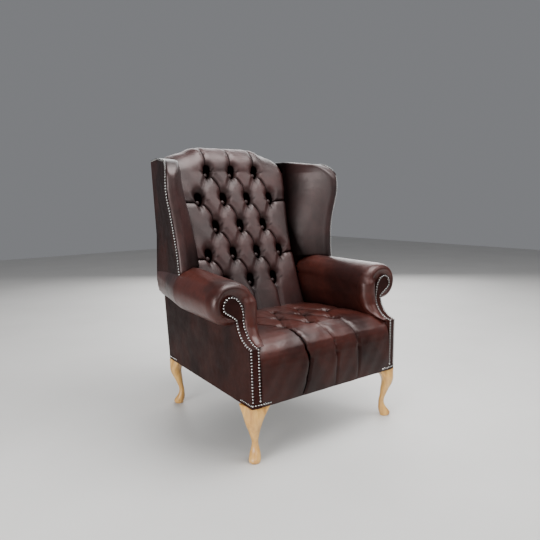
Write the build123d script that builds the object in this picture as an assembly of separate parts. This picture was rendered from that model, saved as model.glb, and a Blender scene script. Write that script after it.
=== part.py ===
"""Buttoned wing chair: beech frame, webbing, foam, leather covers, nail strips and cabriole legs.

Millimetres. X runs across the chair, Y from the front to the back, Z up from the floor.
Left and right are as seen from in front of the chair.
"""

from build123d import *
import os
from math import acos, cos, radians, sin, sqrt

os.makedirs("parts", exist_ok=True)

# Body of the chair
leg_height = 191
front_half_width = 342
rear_half_width = 270
body_depth = 694
front_y = -378
side_lean_share = 0.02
back_lean_share = 0.0875
rear_y = front_y + body_depth

# Cover materials
leather = 3
panel = 3
back_panel = 4
dust_cloth = 1.5
overrun = 2
bolt_clearance = 0.2

# Beech frame
rail_thickness = 28
rail_height = 75
front_post_depth = 45
rear_post_width = 45
stile_width = 32
stile_depth = 35
webbing = 2
webbing_width = 50

# Arms: inner face, rolled top and the cove that sweeps down to the front pillar
facing_width = 34
inner_half_width = 260
inner_rear_half_width = 258
roll_front_y = -300
roll_full_y = -268
roll_wing_y = 15
roll_rear_y = 333
roll_overhang = 96
roll_wing_overhang = 92
roll_rear_overhang = 26
roll_z = 524
roll_height = 140
roll_wing_z = 530
roll_wing_height = 152
roll_rear_z = 530
roll_rear_height = 130
roll_fullness_share = 0.83
roll_bulge = 8
cove_radius = 90
cove_z = 475
neck_y = -305
facing_board = 9
nose_depth = 42
nose_bulge = 4
nose_tuck = 44
nose_lip_share = 0.2
pillar_splay = 6
scroll_radius = 35
scroll_z = 518
nail_width = 8
nail_height = 2.5

# Seat
seat_rear_y = 100
seat_edge_z = 348
seat_flat_z = 405
seat_foam_top = 372
seat_border = 28
seat_row_y = -267
seat_row_pitch = 110
seat_crown_z = 414
seat_pit_depth = 19

# Buttoning shared by the seat and the inside back
button_pitch = 120
button_radius = 8
button_height = 5
button_sink = 3

# Inside back
back_row_z = 955
back_row_pitch = 111
back_pit_y = 237
recline_share = 0.3
back_pit_depth = 25
back_wadding = 8
back_foam_depth = 45
back_join_z = 980
crest_z = 1070
crest_y = 300
crest_half_width = 282
crest_drop = 40
crest_seat = 12
crest_tuck = 3

# Wings
wing_edge_thickness = 46
wing_edge_bulge = 9
wing_bottom_z = 560
wing_corner_z = 940
wing_top_front_z = 1003
wing_top_rear_z = 1018

# Legs and their fixings
leg_ear = 75
leg_bolt_radius = 4
leg_bolt_depth = 40
leg_bolt_rise = 50
leg_bolt_in_x = 20
leg_bolt_in_y = 30
foot_nail_length = 72
foot_nail_z = 199

diagonal = sqrt(0.5)
pieces = {}


def side_x(y, z):
    """Outer face of the covered side, which tapers to the back and leans outward."""
    taper = (rear_half_width - front_half_width) * (y - front_y) / body_depth
    return front_half_width + taper + side_lean_share * (z - leg_height)


def inner_x(y):
    """Inner face of the padded arm, almost straight along the chair."""
    share = (y - front_y) / body_depth
    return inner_half_width + (inner_rear_half_width - inner_half_width) * share


def facing_x(z):
    """Inner edge of the arm's facing board."""
    return side_x(front_y, z) - facing_width


def outer_back_y(z):
    """Outside face of the back, which leans backward."""
    return rear_y + back_lean_share * (z - leg_height)


def pit_y(z):
    """Reclined plane through the roots of the back's buttons."""
    return back_pit_y + recline_share * (z - back_row_z)


def polygon(points):
    return Wire.make_polygon([Vector(*point) for point in points], close=True)


def ruled(wires):
    return Solid.make_loft(wires, ruled=True)


def block(x0, x1, y0, y1, z0, z1):
    """Plain box between two corners."""
    size = (x1 - x0, y1 - y0, z1 - z0)
    return Pos(x0, y0, z0) * Box(*size, align=(Align.MIN, Align.MIN, Align.MIN))


def side_slab(gap, thickness, y0, y1, z0, z1):
    """Slab parallel to the right side, its outer face a gap inside the covered side."""
    wires = []
    for z in (z0, z1):
        outer = [(side_x(y, z) - gap, y, z) for y in (y0, y1)]
        inner = [(side_x(y, z) - gap - thickness, y, z) for y in (y1, y0)]
        wires.append(polygon(outer + inner))
    return ruled(wires)


def profile_yz(points, x0, x1):
    """Outline in Y and Z, pulled out along X."""
    face = Face(polygon([(x0, y, z) for y, z in points]))
    return Solid.extrude(face, Vector(x1 - x0, 0, 0))


def profile_xz(points, y0, y1):
    """Outline in X and Z, pulled out along Y."""
    face = Face(polygon([(x, y0, z) for x, z in points]))
    return Solid.extrude(face, Vector(0, y1 - y0, 0))


def back_slab(points, near, far):
    """Outline in X and Z, as thick as the gap between two planes parallel to the outside back."""
    wires = []
    for offset in (near, far):
        wires.append(polygon([(x, outer_back_y(z) - offset, z) for x, z in points]))
    return ruled(wires)


def bend(start, middle, end, straight):
    """Arc through three points, or two straight edges for a core that a cover hides."""
    if straight:
        return [Edge.make_line(start, middle), Edge.make_line(middle, end)]
    return [Edge.make_three_point_arc(start, middle, end)]


def cut(shape, *tools):
    for tool in tools:
        shape = shape - tool
    return shape


def main_body(shape):
    """The largest solid of a shape, without the crumbs that its cuts leave."""
    return max(shape.solids(), key=lambda solid: solid.volume)


def keep(name, shape):
    pieces[name] = shape


def keep_pair(name, right):
    """A piece of the right side and its mirror image on the left."""
    keep(name + "_right", right)
    keep(name + "_left", mirror(right, about=Plane.YZ))


def pair(right):
    return right + mirror(right, about=Plane.YZ)


# Beech frame
frame_z = leg_height + dust_cloth
roll_low_z = back_join_z - crest_seat
rail_top = frame_z + rail_height
front_rail_y = front_y - pillar_splay + seat_border
post_rear_y = front_rail_y + rail_thickness
rear_gap = back_panel
stile_front = back_wadding + back_foam_depth + webbing
stuffing_rail_z = 300
stuffing_rail_top = 340
arm_rail_height = 45
reach = 600


def front_region(offset):
    """Everything behind the front of pillar, cove and neck, moved forward by an offset."""
    face_y = front_y - pillar_splay - offset
    radius = cove_radius - offset
    centre_y = neck_y - cove_radius
    start_z = cove_z - sqrt(radius**2 - (face_y - centre_y) ** 2)
    middle = (centre_y + radius * diagonal, cove_z - radius * diagonal)
    top_z = scroll_z
    line_up = Line((0, face_y, leg_height), (0, face_y, start_z))
    cove = ThreePointArc((0, face_y, start_z), (0, *middle), (0, centre_y + radius, cove_z))
    rest = Polyline(
        (0, centre_y + radius, cove_z),
        (0, centre_y + radius, top_z),
        (0, reach, top_z),
        (0, reach, leg_height),
        (0, face_y, leg_height),
    )
    face = Face(Wire([*line_up.edges(), *cove.edges(), *rest.edges()]))
    return Solid.extrude(face, Vector(reach, 0, 0))


def front_post():
    back_y = neck_y + facing_board + front_post_depth
    outline = [
        (front_y - pillar_splay, frame_z),
        (front_y - pillar_splay, roll_z),
        (back_y, roll_z),
        (back_y, cove_z - cove_radius / 2),
        (post_rear_y, stuffing_rail_top),
        (post_rear_y, frame_z),
    ]
    slab = side_slab(panel, rail_thickness, front_y - reach, reach, frame_z, roll_z)
    return profile_yz(outline, 0, reach) & slab & front_region(-facing_board)


def rear_post():
    slab = side_slab(panel, rear_post_width, 0, reach, frame_z, back_join_z + overrun)
    low, high = frame_z, roll_low_z
    sheet = back_slab([(0, low), (reach, low), (reach, high), (0, high)], rear_gap,
                      rear_gap + rear_post_width)
    return slab & sheet


rear_post_right = rear_post()
front_post_right = front_post()
keep_pair("front_post", front_post_right)
keep_pair("rear_post", rear_post_right)

rear_rail_y = rear_y - rear_gap - rail_thickness
post_x = side_x(front_y, frame_z) - panel - rail_thickness
front_rail_half = [side_x(y, frame_z) - panel - rail_thickness for y in (front_rail_y, post_rear_y)]


def cross_rail(y0, y1, z0, z1, gap):
    """Rail across the chair between the slabs that lie a gap inside the covered sides."""
    wires = []
    for z in (z0, z1):
        right = [(side_x(y, z) - gap, y, z) for y in (y0, y1)]
        left = [(-x, y, z) for x, y, z in reversed(right)]
        wires.append(polygon(right + left))
    return ruled(wires)


side_gap = panel + rail_thickness
keep("front_seat_rail", cross_rail(front_rail_y, post_rear_y, frame_z, rail_top, side_gap))
rear_gap_x = panel + rear_post_width
keep("rear_seat_rail", cross_rail(rear_rail_y, rear_y - rear_gap, frame_z, rail_top, rear_gap_x))

rail_end_y = rear_y - rear_gap - rear_post_width + overrun * 4
side_rail = side_slab(panel, rail_thickness, post_rear_y, rail_end_y, frame_z, rail_top)
side_rail = side_rail - rear_post_right
keep_pair("side_seat_rail", side_rail)

stuffing_end_y = rail_end_y + (stuffing_rail_top - frame_z) * back_lean_share
stuffing_rail = side_slab(panel, rail_thickness, post_rear_y, stuffing_end_y, stuffing_rail_z,
                          stuffing_rail_top)
stuffing_rail = cut(stuffing_rail, rear_post_right)
keep_pair("arm_stuffing_rail", stuffing_rail)

# Corner blocks, glued and screwed into the four corners of the seat frame
block_leg = 80


def corner_block(y, step):
    wires = []
    for z in (frame_z, rail_top):
        corner = (side_x(y, z) - side_gap, y, z)
        inward = (side_x(y, z) - side_gap - block_leg, y, z)
        along = (side_x(y + step, z) - side_gap, y + step, z)
        wires.append(polygon([corner, inward, along]))
    return ruled(wires)


rear_block = corner_block(rear_rail_y, -block_leg) - rear_post_right
keep("corner_blocks", pair(corner_block(post_rear_y, block_leg) + rear_block))

# Inside back frame: a lower rail on the stuffing rails, two stiles and the shaped crest rail
lower_rail_y = pit_y(stuffing_rail_top) + stile_front
lower_back_rail = cross_rail(lower_rail_y, lower_rail_y + stile_depth, stuffing_rail_z,
                             stuffing_rail_top, side_gap)
keep("lower_back_rail", lower_back_rail)

crest_bottom = back_join_z - rail_thickness
crest_cover = 22


def crest_height(x):
    """Height of the padded crest over the outline that dips to the wings."""
    knots_share = ((0, 1), (0.4, 1), (0.53, 0.93), (0.66, 0.6), (0.83, 0.36), (1, 0))
    low = wing_top_rear_z
    share = abs(x) / crest_half_width
    for (a, high_a), (b, high_b) in zip(knots_share, knots_share[1:]):
        if share <= b:
            height = high_a + (high_b - high_a) * (share - a) / (b - a)
            return low + (crest_z - low) * height
    return low


def crest_rail():
    half = crest_half_width - crest_cover
    stations_share = (-1, -0.83, -0.66, -0.45, 0.45, 0.66, 0.83, 1)
    outline = [(half * share, crest_height(half * share) - crest_cover) for share in stations_share]
    outline += [(half, crest_bottom), (-half, crest_bottom)]
    near = rear_gap + rear_post_width
    return back_slab(outline, near, near + rail_thickness + overrun * 5)


crest_piece = crest_rail()
keep("crest_rail", crest_piece)

stile_x = rear_half_width - rear_post_width - stile_width / 2


def stile():
    wires = []
    for z in (stuffing_rail_top, crest_bottom):
        front = pit_y(z) + stile_front
        wires.append(polygon([
            (stile_x, front, z),
            (stile_x + stile_width, front, z),
            (stile_x + stile_width, front + stile_depth, z),
            (stile_x, front + stile_depth, z),
        ]))
    return ruled(wires)


keep_pair("back_stile", stile() - rear_post_right)

# Webbing of the seat and of the back
strap_gap = 44
seat_strap_end = lower_rail_y + stile_depth


def seat_straps():
    straps = None
    step = webbing_width + strap_gap
    for number in range(-2, 3):
        x = number * step - webbing_width / 2
        strap = block(x, x + webbing_width, front_rail_y, rear_rail_y + rail_thickness,
                      rail_top, rail_top + webbing)
        straps = strap if straps is None else straps + strap
    return straps


def cross_straps():
    straps = None
    count = 4
    step = (rear_rail_y - post_rear_y) / (count + 1)
    for number in range(1, count + 1):
        y = post_rear_y + number * step - webbing_width / 2
        strap = cross_rail(y, y + webbing_width, rail_top + webbing, rail_top + 2 * webbing, panel)
        straps = strap if straps is None else straps + strap
    return straps


keep("seat_webbing_long", seat_straps())
keep("seat_webbing_cross", cross_straps())


def back_straps():
    straps = None
    count = 5
    low = stuffing_rail_top + webbing_width
    step = (crest_bottom - webbing_width - low) / (count - 1)
    half = stile_x + stile_width
    for number in range(count):
        z0 = low + number * step - webbing_width / 2
        wires = []
        for z in (z0, z0 + webbing_width):
            front = pit_y(z) + stile_front - webbing
            wires.append(polygon([(-half, front, z), (half, front, z),
                                  (half, front + webbing, z), (-half, front + webbing, z)]))
        strap = ruled(wires)
        straps = strap if straps is None else straps + strap
    return straps


keep("back_webbing", back_straps())


# Arms
def roll_wire(y, extent, height, share, inset, fullness=diagonal):
    """Closed section of the rolled arm: four arcs round a centre, the inner upper one fuller."""
    left, right, x, z = extent
    high = height / 2 * share - inset
    corners = [(-1, 0), (0, 1), (1, 0), (0, -1), (-1, 0)]
    edges = []
    for (a, b), (c, d) in zip(corners, corners[1:]):
        wide = (left if a + c < 0 else right) * share - inset
        start = (x + a * wide, y, z + b * high)
        bow = fullness if a + c < 0 < b + d else diagonal
        middle = (x + (a + c) * wide * bow, y, z + (b + d) * high * bow)
        edges += bend(start, middle, (x + c * wide, y, z + d * high), inset > 0)
    return Wire(edges)


def behind_back():
    """Room behind the front face of the outside back's panel."""
    wires = []
    for z in (leg_height - reach / 4, crest_z):
        near = outer_back_y(z) - back_panel
        wires.append(polygon([(-reach, near, z), (reach, near, z),
                              (reach, near + reach, z), (-reach, near + reach, z)]))
    return ruled(wires)


def roll_extent(y, z, overhang, high):
    """Reach of the roll inward and outward from the place of its crown, and that place."""
    outer = side_x(y, z) + overhang
    right = min(high, (outer - inner_x(y)) / 2)
    return outer - right - inner_x(y), right, outer - right, z


def arm_roll(inset=0):
    """Rolled top of the arm, with the padded ring round the scroll at its front."""
    extent = roll_extent(roll_full_y, roll_z, roll_overhang, roll_height / 2)
    depth = roll_full_y - roll_front_y
    ring_share = ((0, 0.6), (-roll_bulge / depth, 0.74), (-0.02, 0.88), (0.4, 0.97), (1, 1))
    wires = []
    for along, share in ring_share:
        y = roll_front_y + along * depth + inset
        wires.append(roll_wire(y, extent, roll_height, share, inset))
    full = roll_fullness_share
    extent = roll_extent(roll_wing_y, roll_wing_z, roll_wing_overhang, roll_wing_height / 2)
    wires.append(roll_wire(roll_wing_y, extent, roll_wing_height, 1, inset, full))
    extent = roll_extent(roll_rear_y, roll_rear_z, roll_rear_overhang, roll_rear_height / 2)
    for y in (roll_rear_y, roll_rear_y + rail_thickness):
        wires.append(roll_wire(y, extent, roll_rear_height, 1, inset, full))
    return ruled(wires)


scroll_x = roll_extent(roll_full_y, roll_z, roll_overhang, roll_height / 2)[2]


def scroll(radius, near, far):
    disc = Cylinder(radius, near - far, rotation=(90, 0, 0))
    return Pos(scroll_x, (near + far) / 2, scroll_z) * disc


def neck_slab(gap, width, low=leg_height, high=cove_z):
    """Upright slab that holds the facing's pillar and cove."""
    wires = []
    for z in (low, high):
        right = facing_x(z) + facing_width - gap
        wires.append(polygon([
            (right, front_y - reach, z), (right, neck_y + facing_board, z),
            (right - width, neck_y + facing_board, z), (right - width, front_y - reach, z),
        ]))
    return ruled(wires)


def facing_head(inset, near, far):
    """Head of the facing above the cove: neck, shoulder and round scroll."""
    left, low = facing_x(cove_z), cove_z - overrun * (inset > 0)
    shoulder_share = ((0.03, 0.25), (0.12, 0.5), (0.3, 0.72), (0.58, 0.9), (1, 1))
    wide, high = scroll_x - left - inset, scroll_z + scroll_radius - cove_z - inset
    points = [(left + inset, low), (left + inset, cove_z)]
    points += [(left + inset + wide * x, cove_z + high * z) for x, z in shoulder_share]
    points += [(scroll_x, scroll_z), (left + facing_width - inset, scroll_z),
               (left + facing_width - inset, low)]
    return profile_xz(points, far, near) + scroll(scroll_radius - inset, near, far)


def arm_wall(inset):
    """Wall of the arm behind its facing board."""
    over = overrun * (inset > 0)
    wires = []
    for z in (arm_low_z - over * 2, roll_z):
        back = outer_back_y(z) - back_panel + over
        wires.append(polygon([
            (facing_x(z) + overrun / 2 - over * 2, front_y - reach, z),
            (side_x(front_y - reach, z) - panel + over, front_y - reach, z),
            (side_x(back, z) - panel + over, back, z),
            ((side_x(back, z) - panel + inner_x(back)) / 2, back, z),
            (facing_x(z) + overrun / 2 - over * 2, post_rear_y, z),
        ]))
    return ruled(wires) & front_region(-facing_board + over)


def nose_levels(low):
    """Heights of the padded inner wall, with its front and how far it draws back from the seat."""
    face_y = front_y - pillar_splay
    centre_y = neck_y - cove_radius
    start = acos((face_y - centre_y) / cove_radius)
    behind_y = front_rail_y + nose_bulge
    levels = [(low, behind_y, 0), (border_top, behind_y, 0)]
    levels.append((border_top + overrun / 4, face_y, nose_tuck))
    for share, tuck_share in ((1, 0.58), (0.75, 0.4), (0.5, 0.3), (0.25, 0.15), (0, 0)):
        turn = start * share
        y, z = centre_y + cove_radius * cos(turn), cove_z - cove_radius * sin(turn)
        levels.append((z, y, nose_tuck * tuck_share))
    levels.append((roll_z, neck_y, 0))
    for rise_share, in_share in ((0.26, 0.13), (0.57, 0.38)):
        tuck = (scroll_x - inner_half_width) * in_share
        levels.append((roll_z + roll_height / 2 * rise_share, neck_y + tuck / 2, tuck))
    return levels


def facing_rear_y(z):
    """Rear face of the facing board, measured level with a height."""
    face_y = front_y - pillar_splay + facing_board
    if z > cove_z:
        return neck_y + facing_board
    below = (cove_radius + facing_board) ** 2 - (cove_z - z) ** 2
    if below <= 0:
        return face_y
    return max(face_y, neck_y - cove_radius + sqrt(below))


def arm_nose(inset):
    """Padded inner wall of the arm, whose rounded front follows pillar, cove and neck."""
    over = overrun * (inset > 0)
    wires = []
    for z, y, tuck in nose_levels(arm_low_z - over * 2):
        back = outer_back_y(z) - back_panel + over
        front = y + nose_depth
        outer = facing_x(z) + over
        inner = inner_x(front) + tuck + inset
        lip = inner + (outer - inner) * nose_lip_share
        start, end = (inner, front, z), (outer, y + overrun + inset, z)
        board_y = facing_rear_y(z) + overrun
        edge = (outer, board_y, z)
        beside = (outer + overrun * 2, board_y + overrun * 2, z)
        rear_out = (side_x(back, z) - panel - overrun, back, z)
        rear_in = (inner_x(back) + inset + tuck / 2 * (z > roll_z), back, z)
        wires.append(Wire([
            *bend(start, (lip, y - nose_bulge + inset, z), end, inset > 0),
            Edge.make_line(end, edge),
            Edge.make_line(edge, beside),
            Edge.make_line(beside, rear_out),
            Edge.make_line(rear_out, rear_in),
            Edge.make_line(rear_in, start),
        ]))
    return ruled(wires)


border_top = seat_edge_z - overrun * 3
rear_room = behind_back()
arm_low_z = rail_top + 2 * webbing
roll_outer = arm_roll() - rear_room
facing_back_y = neck_y + facing_board
facing_room = facing_head(0, facing_back_y, front_y)
facing_room = facing_room + neck_slab(0, facing_width, roll_z - roll_height)
roll_outer = roll_outer - facing_room
arm_form = arm_wall(0) + arm_nose(0) + roll_outer
arm_core = arm_wall(leather) + arm_nose(leather) + arm_roll(leather)

arm_rail_start_y = neck_y + facing_board + front_post_depth
arm_rail_end_y = outer_back_y(roll_rear_z) - rear_gap - rear_post_width + overrun
arm_rail_start_x = side_x(arm_rail_start_y, roll_z) - side_gap + rail_thickness / 2
arm_rail_rear_x = inner_x(arm_rail_end_y) + leather + overrun + rail_thickness / 2


def arm_rail():
    """Rail inside the roll, from the front post to the rear post."""
    thick = rail_thickness / 2
    start = (arm_rail_start_x, arm_rail_start_y, roll_z)
    wires = []
    for x, y, z in (start, (arm_rail_rear_x, arm_rail_end_y, roll_rear_z)):
        low, high = z - arm_rail_height, z
        wires.append(polygon([(x - thick, y, low), (x + thick, y, low),
                              (x + thick, y, high), (x - thick, y, high)]))
    return ruled(wires) - rear_post_right


arm_rail_right = arm_rail()
keep_pair("arm_rail", arm_rail_right)

# Inside back, buttoned in a diamond pattern
pit_share = button_radius / button_pitch


def tuft_row(kind, half):
    """Breaks across a row, with their depths and the depths half way between them.

    Places are in shares of the button pitch and depths in shares of the pit depth.
    """
    edge = half / button_pitch
    p = pit_share
    if kind == "three":
        places = [-edge, -1.54, -1 - p, -1 + p, -p, p, 1 - p, 1 + p, 1.54, edge]
        depths = [0.3, 0.08, 1, 1, 1, 1, 1, 1, 0.08, 0.3]
        middles = [0.06, 0.28, 1, 0, 1, 0, 1, 0.28, 0.06]
    elif kind == "between":
        places = [-edge, -1.54, -1.25, -0.75, -0.25, 0.25, 0.75, 1.25, 1.54, edge]
        depths = [0.3, 0.12, 0.5, 0.5, 0.5, 0.5, 0.5, 0.5, 0.12, 0.3]
        middles = [0.04, 0.22, 0.1, 0.1, 0.1, 0.1, 0.1, 0.22, 0.04]
    elif kind == "four":
        places = [-edge, -1.5 - p, -1.5 + p, -0.5 - p, -0.5 + p, 0.5 - p, 0.5 + p,
                  1.5 - p, 1.5 + p, edge]
        depths = [0.5, 1, 1, 1, 1, 1, 1, 1, 1, 0.5]
        middles = [0.75, 1, 0, 1, 0, 1, 0, 1, 0.75]
    elif kind == "border":
        p = pit_share / 4
        places = [-edge, -1.54, -1 - p, -1 + p, -p, p, 1 - p, 1 + p, 1.54, edge]
        depths = [0, 0, 0.3, 0.3, 0.3, 0.3, 0.3, 0.3, 0, 0]
        middles = [0, 0.06, 0.3, 0, 0.3, 0, 0.3, 0.06, 0]
    else:
        p = pit_share / 4
        places = [-edge, -1.54, -1 - p, -1 + p, -p, p, 1 - p, 1 + p, 1.54, edge]
        depths = [0.3, 0.08, 0.4, 0.4, 0.4, 0.4, 0.4, 0.4, 0.08, 0.3]
        middles = [0.06, 0.12, 0.4, 0, 0.4, 0, 0.4, 0.12, 0.06]
        if kind == "flat":
            depths = [0] * len(depths)
            middles = [0] * len(middles)
    return places, depths, middles


def tuft_wire(kind, half, depth, place, floor):
    """Closed section of a buttoned pad. place(x, d) is the point at depth d below the crown."""
    places, depths, middles = tuft_row(kind, half)
    edges = []
    tops = [(share * button_pitch, d * depth) for share, d in zip(places, depths)]
    for (a, da), (b, db), middle in zip(tops, tops[1:], middles):
        start, end = place(a, da), place(b, db)
        if abs(middle * depth - (da + db) / 2) * 1000 < depth:
            edges.append(Edge.make_line(start, end))
        else:
            edges.append(Edge.make_three_point_arc(start, place((a + b) / 2, middle * depth), end))
    corners = [place(*tops[-1]), floor(half), floor(-half), place(*tops[0])]
    for start, end in zip(corners, corners[1:]):
        edges.append(Edge.make_line(start, end))
    return Wire(edges)


def back_half_width(z):
    """Half width of the inside back between the arms and the wings."""
    rows_z = [back_row_z - number * back_row_pitch for number in (5, 4, 3, 2, 1, 0)]
    halves_share = (1.02, 0.994, 0.989, 0.999, 1.05, 1.111)
    halves = [share * inner_half_width for share in halves_share]
    if z <= rows_z[0]:
        return halves[0]
    for a, b, half_a, half_b in zip(rows_z, rows_z[1:], halves, halves[1:]):
        if z <= b:
            return half_a + (half_b - half_a) * (z - a) / (b - a)
    return halves[-1]


back_bottom = seat_flat_z + overrun / 4


def back_stations():
    """Heights and kinds of the sections of the inside back, from the seat upward."""
    stations = [(back_bottom, "pleat")]
    for number in (4, 3, 2, 1, 0):
        z = back_row_z - number * back_row_pitch
        stations.append((z, "four" if number in (1, 3) else "three"))
        if number:
            stations.append((z + back_row_pitch / 2, "between"))
    stations.append((back_join_z, "pleat"))
    return stations


def tufted_back():
    wires = []
    for z, kind in back_stations():
        def place(x, d, z=z):
            return (x, pit_y(z) - back_pit_depth + d, z)

        def floor(x, z=z):
            return (x, pit_y(z) + back_wadding, z)

        wires.append(tuft_wire(kind, back_half_width(z), back_pit_depth, place, floor))
    return ruled(wires)


def crest_roll():
    """Roll over the crest rail, drawn in at the three pleats that run up from the top buttons."""
    pleat = back_pit_depth * 0.4
    front = pit_y(back_join_z) - back_pit_depth + crest_tuck
    back = outer_back_y(roll_low_z) - back_panel
    pleat_share = ((0, 1), (0.12, 0.65), (0.5, 0), (0.88, 0.65), (1, 1), (1.12, 0.65),
                   (1.4, 0), (1.85, 0.1))
    right = [(share * button_pitch, inset) for share, inset in pleat_share]
    right.append((crest_half_width, 0.5))
    left = [(-x, inset) for x, inset in reversed(right[1:])]
    wires = []
    for x, inset in left + right:
        start = (x, front + pleat * inset, roll_low_z)
        top = (x, crest_y, crest_height(x) - pleat * inset)
        high = crest_height(x) - crest_drop
        end = (x, outer_back_y(high) - back_panel, high)
        heel = (x, back, roll_low_z)
        edges = [Edge.make_three_point_arc(start, top, end)]
        edges += [Edge.make_line(end, heel), Edge.make_line(heel, start)]
        wires.append(Wire(edges))
    return ruled(wires)


def arm_space():
    """Room that the arms take beside the inside back."""
    wires = []
    for z in (back_bottom - overrun, roll_wing_z + roll_wing_height * 0.3):
        wires.append(polygon([
            (inner_x(front_y), front_y, z),
            (front_half_width * 2, front_y, z),
            (front_half_width * 2, rear_y, z),
            (inner_x(rear_y), rear_y, z),
        ]))
    return ruled(wires)


def back_foam():
    wires = []
    for station, _ in back_stations():
        z = min(station, roll_low_z)
        half = back_half_width(z)
        near = pit_y(z) + back_wadding
        far = near + back_foam_depth
        wires.append(polygon([(-half, near, z), (half, near, z), (half, far, z), (-half, far, z)]))
    return ruled(wires)


def button(height):
    """Covered button with a low crown, standing on its root."""
    sides = 12
    crown_share = 0.6
    wires = []
    for z, share in ((0, 1), (height * crown_share, 1), (height, crown_share)):
        radius = button_radius * share
        turns = [radians(360 * number / sides) for number in range(sides)]
        wires.append(polygon([(radius * cos(turn), radius * sin(turn), z) for turn in turns]))
    return ruled(wires)


def back_button_places():
    tilt = Plane((0, 0, 0), x_dir=(1, 0, 0), z_dir=(0, -1, recline_share))
    for number in range(5):
        z = back_row_z - number * back_row_pitch
        count = 4 if number in (1, 3) else 3
        for place in range(count):
            x = (place - (count - 1) / 2) * button_pitch
            yield Pos(x, pit_y(z) - button_sink, z) * Location(tilt)


def buttons(places):
    group = None
    for place in places:
        one = place * button(button_height)
        group = one if group is None else group + one
    return group


arm_forms = pair(arm_form)
sides = pair(arm_space())
tufted_pad = cut(tufted_back(), sides, arm_forms)
back_pad = tufted_pad + crest_roll()
back_core = cut(back_foam(), sides, arm_forms, crest_piece)
back_buttons = buttons(back_button_places())
keep("back_buttons", back_buttons)
keep("inside_back_cover", cut(back_pad, crest_piece, back_buttons))


# Seat, fixed and buttoned, with its front border in the same piece of leather
def seat_stations():
    """Depths, crown heights and kinds of the sections of the seat, from the front edge back."""
    edge = front_y - pillar_splay
    fall = seat_crown_z - seat_edge_z
    stations = [(edge, seat_edge_z, "pleat")]
    for along, share in ((10, 0.3), (28, 0.55), (60, 0.78)):
        stations.append((edge + along, seat_edge_z + fall * share, "pleat"))
    for number, kind in enumerate(("three", "between", "four", "between", "three")):
        stations.append((seat_row_y + number * seat_row_pitch / 2, seat_crown_z, kind))
    last = seat_row_y + 2 * seat_row_pitch
    stations.append(((last + 2 * seat_rear_y) / 3, seat_flat_z, "flat"))
    stations.append((seat_rear_y, seat_flat_z, "flat"))
    return stations


def seat_half_width(y):
    """Half width of the seat before the arms' padding cuts into its sides."""
    start = front_y - pillar_splay
    share = (y - start) / (seat_rear_y - start)
    side = front_half_width - facing_width - inner_half_width
    return inner_x(y) + side * (1 - share * 0.8)


def seat_top():
    wires = []
    for y, crown, kind in seat_stations():
        def place(x, d, y=y, crown=crown):
            return (x, y, crown - d)

        def floor(x, y=y):
            return (x, y, border_top)

        wires.append(tuft_wire(kind, seat_half_width(y), seat_pit_depth, place, floor))
    return ruled(wires)


def seat_front():
    wires = []
    middle_z = (leg_height + border_top) / 2
    plain_z = foot_nail_z + nail_width + overrun
    half = front_half_width - facing_width
    for z, bulge in ((leg_height, 0), (plain_z, 0), (middle_z, overrun * 2), (border_top, 0)):
        def place(x, d, z=z, bulge=bulge):
            return (x, front_y - pillar_splay - bulge + d, z)

        def floor(x, z=z):
            return (x, front_rail_y, z)

        wires.append(tuft_wire("border", half, seat_pit_depth, place, floor))
    return ruled(wires)


def seat_foam():
    low = rail_top + 2 * webbing
    wires = []
    for z in (low, seat_foam_top):
        wires.append(polygon([
            (-inner_x(front_rail_y), front_rail_y, z),
            (inner_x(front_rail_y), front_rail_y, z),
            (inner_x(seat_rear_y), seat_rear_y, z),
            (-inner_x(seat_rear_y), seat_rear_y, z),
        ]))
    return ruled(wires)


def seat_button_places():
    for number in range(3):
        y = seat_row_y + number * seat_row_pitch
        count = 4 if number == 1 else 3
        for place in range(count):
            x = (place - (count - 1) / 2) * button_pitch
            yield Pos(x, y, seat_crown_z - seat_pit_depth + button_sink)


seat_core = seat_foam()
seat_buttons = buttons(seat_button_places())
seat_sides = pair(arm_nose(0))
keep("seat_foam", cut(seat_core, seat_sides))
keep("seat_buttons", seat_buttons)
seat_pad = cut(seat_top() + seat_front(), seat_core, seat_sides)
keep("seat_cover", cut(seat_pad, seat_buttons))


# Wings
def wing_front(z):
    """Front edge of the wing, where its outside panel is nailed: X and Y at a height."""
    knots = wing_knots
    for (a, xa, ya), (b, xb, yb) in zip(knots, knots[1:]):
        if z <= b:
            share = (z - a) / (b - a)
            return xa + (xb - xa) * share, ya + (yb - ya) * share
    return knots[-1][1:]


wing_rise = wing_top_rear_z - wing_bottom_z
wing_base_x = 376
wing_flare = 40
wing_base_y = 4
wing_waist = 16
wing_shape_share = (
    (0, 0, 0), (0.22, 0.06, 0.7), (0.36, 0.2, 1), (0.47, 0.4, 1), (0.57, 0.63, 0.8),
    (0.67, 0.9, 0.55), (0.74, 1, 0.5), (0.82, 0.97, 0.6), (0.9, 0.86, 0.8), (1, 0.7, 1),
)
wing_knots = [
    (wing_bottom_z + wing_rise * z, wing_base_x + wing_flare * x, wing_base_y + wing_waist * y)
    for z, x, y in wing_shape_share
]


def wing_rear_x(z):
    """Outer rear corner of the upper body: widest at the tail of the arm roll."""
    low = side_x(roll_rear_y, roll_rear_z) + roll_rear_overhang
    high = side_x(rear_y, wing_top_rear_z)
    share = min(1, (z - roll_rear_z) / (wing_rise / 2.5))
    return low + (high - low) * share


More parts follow.
